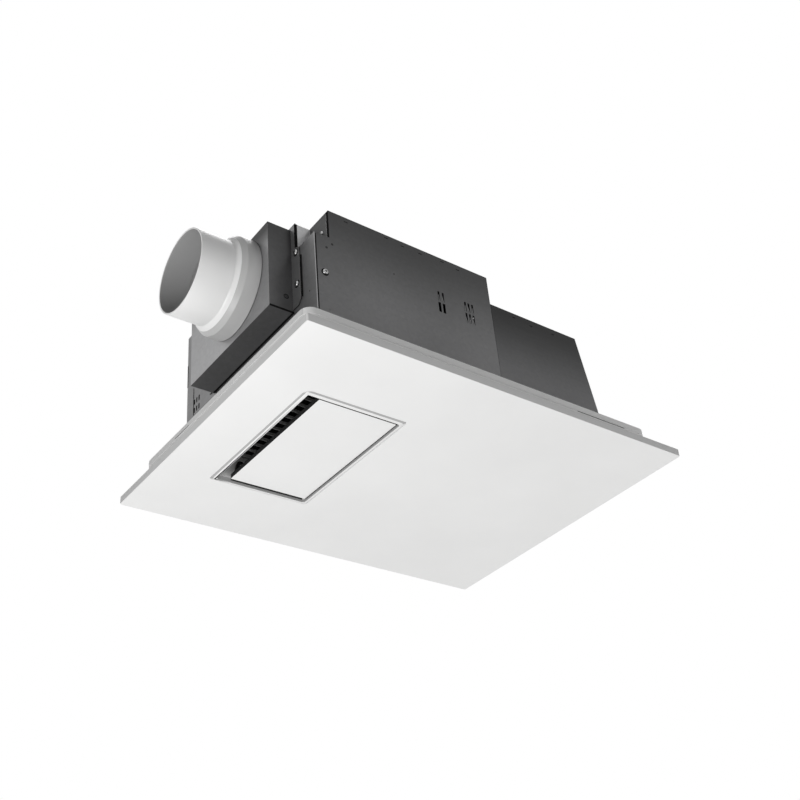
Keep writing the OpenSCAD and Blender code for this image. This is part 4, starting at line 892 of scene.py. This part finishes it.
# The scroll is painted near black as the shade inside the casing, seen through the side vents.
scroll_shade_abs = finish_with(moulded_skin, "scroll_shade_abs", (0.12, 0.12, 0.125), bump=0.05, Dull=0.42)
bare_zinc = finish_with(zinc_skin, "bare_zinc", (0.5, 0.5, 0.51), bump=0.06, metallic=0.95,
                        Dull=0.28)
for name, node, finish, body in (
    ("inlet_bellmouth", "bellmouth", scroll_shade_abs, "unit"),
    ("scroll_moulding", "scroll_case", scroll_shade_abs, "unit"),
    ("scroll_lid", "scroll_cover", bare_zinc, "unit"),
    ("wheel_back_plate", "wheel_plate", bare_zinc, "fan_rotor"),
    ("wheel_end_ring", "wheel_ring", bare_zinc, "fan_rotor"),
    ("wheel_lock_nut", "impeller_nut", ground_steel, "fan_rotor"),
):
    rounded(name, node, finish, body=body)
coat("wheel_blades", bare_zinc)
shaft("motor_spindle", "motor_shaft", "fan_rotor", Z)
grey_paint = finish_with(moulded_skin, "grey_paint", (0.3, 0.31, 0.32), bump=0.08, Dull=0.34)
rounded("fan_motor_case", "fan_motor", grey_paint, width=1.2, steps=3)
motor_fixings = [(42.8, 39.3, 73), (90, -42.5, 73), (137.2, 39.3, 73)]
piece(screws(motor_fixings, (0, 0, 1), 3.3, height=2.4, shank=6, step=30),
      "motor_screw_set", "unit", [plated], ["motor_screws"])
dark_case = finish_with(moulded_skin, "dark_case", (0.07, 0.07, 0.08), bump=0.05, Dull=0.3)
rounded("run_capacitor", "motor_capacitor", dark_case, width=1.5, steps=3)


# ---------------------------------------------------------------------------------------------
# Filter: a hood under the fan carries a blue-grey frame with a fine net, which slides out
# sideways over the panel's rim for washing.

# The hood takes the air box's near black, painted shade.
rounded("filter_guide_hood", "filter_hood", box_shade_pp, width=0.4)
filter_abs = finish_with(moulded_skin, "filter_abs", (0.1, 0.13, 0.18), bump=0.05, Dull=0.4)
rounded("filter_tray", "filter_frame", filter_abs, width=0.5, body="filter")

# Woven net: two sets of threads with open holes where both are thin.
THREAD_SCALE = 210
OPEN_BELOW = 0.62
net = bpy.data.materials.new("net")
net.use_nodes = True
tree = net.node_tree
shader = tree.nodes["Principled BSDF"]
shader.inputs["Roughness"].default_value = 0.6
place = tree.nodes.new("ShaderNodeTexCoord")
threads = []
for direction in ("X", "Y"):
    thread = tree.nodes.new("ShaderNodeTexWave")
    thread.bands_direction = direction
    thread.inputs["Scale"].default_value = THREAD_SCALE
    wire(tree, place, "Object", thread, "Vector")
    threads.append(thread)
either = tree.nodes.new("ShaderNodeMath")
either.operation = "MAXIMUM"
wire(tree, threads[0], "Fac", either, 0)
wire(tree, threads[1], "Fac", either, 1)
solid = tree.nodes.new("ShaderNodeMath")
solid.operation = "GREATER_THAN"
solid.inputs[1].default_value = OPEN_BELOW
wire(tree, either, 0, solid, 0)
fibre = tree.nodes.new("ShaderNodeValToRGB")
fibre.color_ramp.elements[0].color = (0.02, 0.025, 0.035, 1)
fibre.color_ramp.elements[1].color = (0.07, 0.085, 0.11, 1)
wire(tree, either, 0, fibre, "Fac")
wire(tree, fibre, "Color", shader, "Base Color")
wire(tree, solid, 0, shader, "Alpha")
coat("filter_mesh", net)


# ---------------------------------------------------------------------------------------------
# Controls: a folded steel box with a lid holds the circuit board and the terminal block, and
# the supply comes in through a rubber bush in the low casing's far side.

rounded("control_case", "control_box", bare_zinc)
rounded("control_lid", "control_cover", bare_zinc)

# Circuit board: green solder resist over pale copper tracks.
board_skin, given, result = start_skin("board_skin", Colour=(0.01, 0.12, 0.05, 1), Dull=0.3)
place = board_skin.nodes.new("ShaderNodeTexCoord")
tracks = board_skin.nodes.new("ShaderNodeTexBrick")
tracks.inputs["Scale"].default_value = 90
tracks.inputs["Mortar Size"].default_value = 0.03
tracks.inputs["Color2"].default_value = (0.012, 0.16, 0.07, 1)
tracks.inputs["Mortar"].default_value = (0.05, 0.3, 0.12, 1)
wire(board_skin, place, "Object", tracks, "Vector")
wire(board_skin, given, "Colour", tracks, "Color1")
wire(board_skin, tracks, "Color", result, "Colour")
wire(board_skin, given, "Dull", result, "Roughness")
wire(board_skin, tracks, "Fac", result, "Height")
board_green = finish_with(board_skin, "board_green", (0.01, 0.12, 0.05), bump=0.2)
coat("control_board", board_green)
coat("board_parts", dark_case)
terminal_pa = finish_with(moulded_skin, "terminal_pa", (0.78, 0.77, 0.7), bump=0.04, Dull=0.36)
rounded("supply_terminals", "terminal_block", terminal_pa)
rubber = finish_with(foam_skin, "rubber", (0.025, 0.025, 0.025), bump=0.08, Dull=0.7)
bush = turned([(-0.2, 5.0), (-1.2, 6.2), (-1.2, 10.4), (-0.6, 11.6), (0.2, 12.0), (2.0, 12.0),
               (2.0, 9.0), (3.2, 9.0), (3.2, 12.0), (5.0, 12.0), (5.0, 5.0)],
              (135, 139.8, 100), NEARWARDS, 64)
piece(bush, "supply_bush", "unit", [rubber], ["cable_bush"], crease=40)
rounded("room_sensor_cap", "room_sensor", terminal_pa, width=0.6, steps=3)

# Small screws that hold the two little motors and the control box.
coat("small_screws", plated)
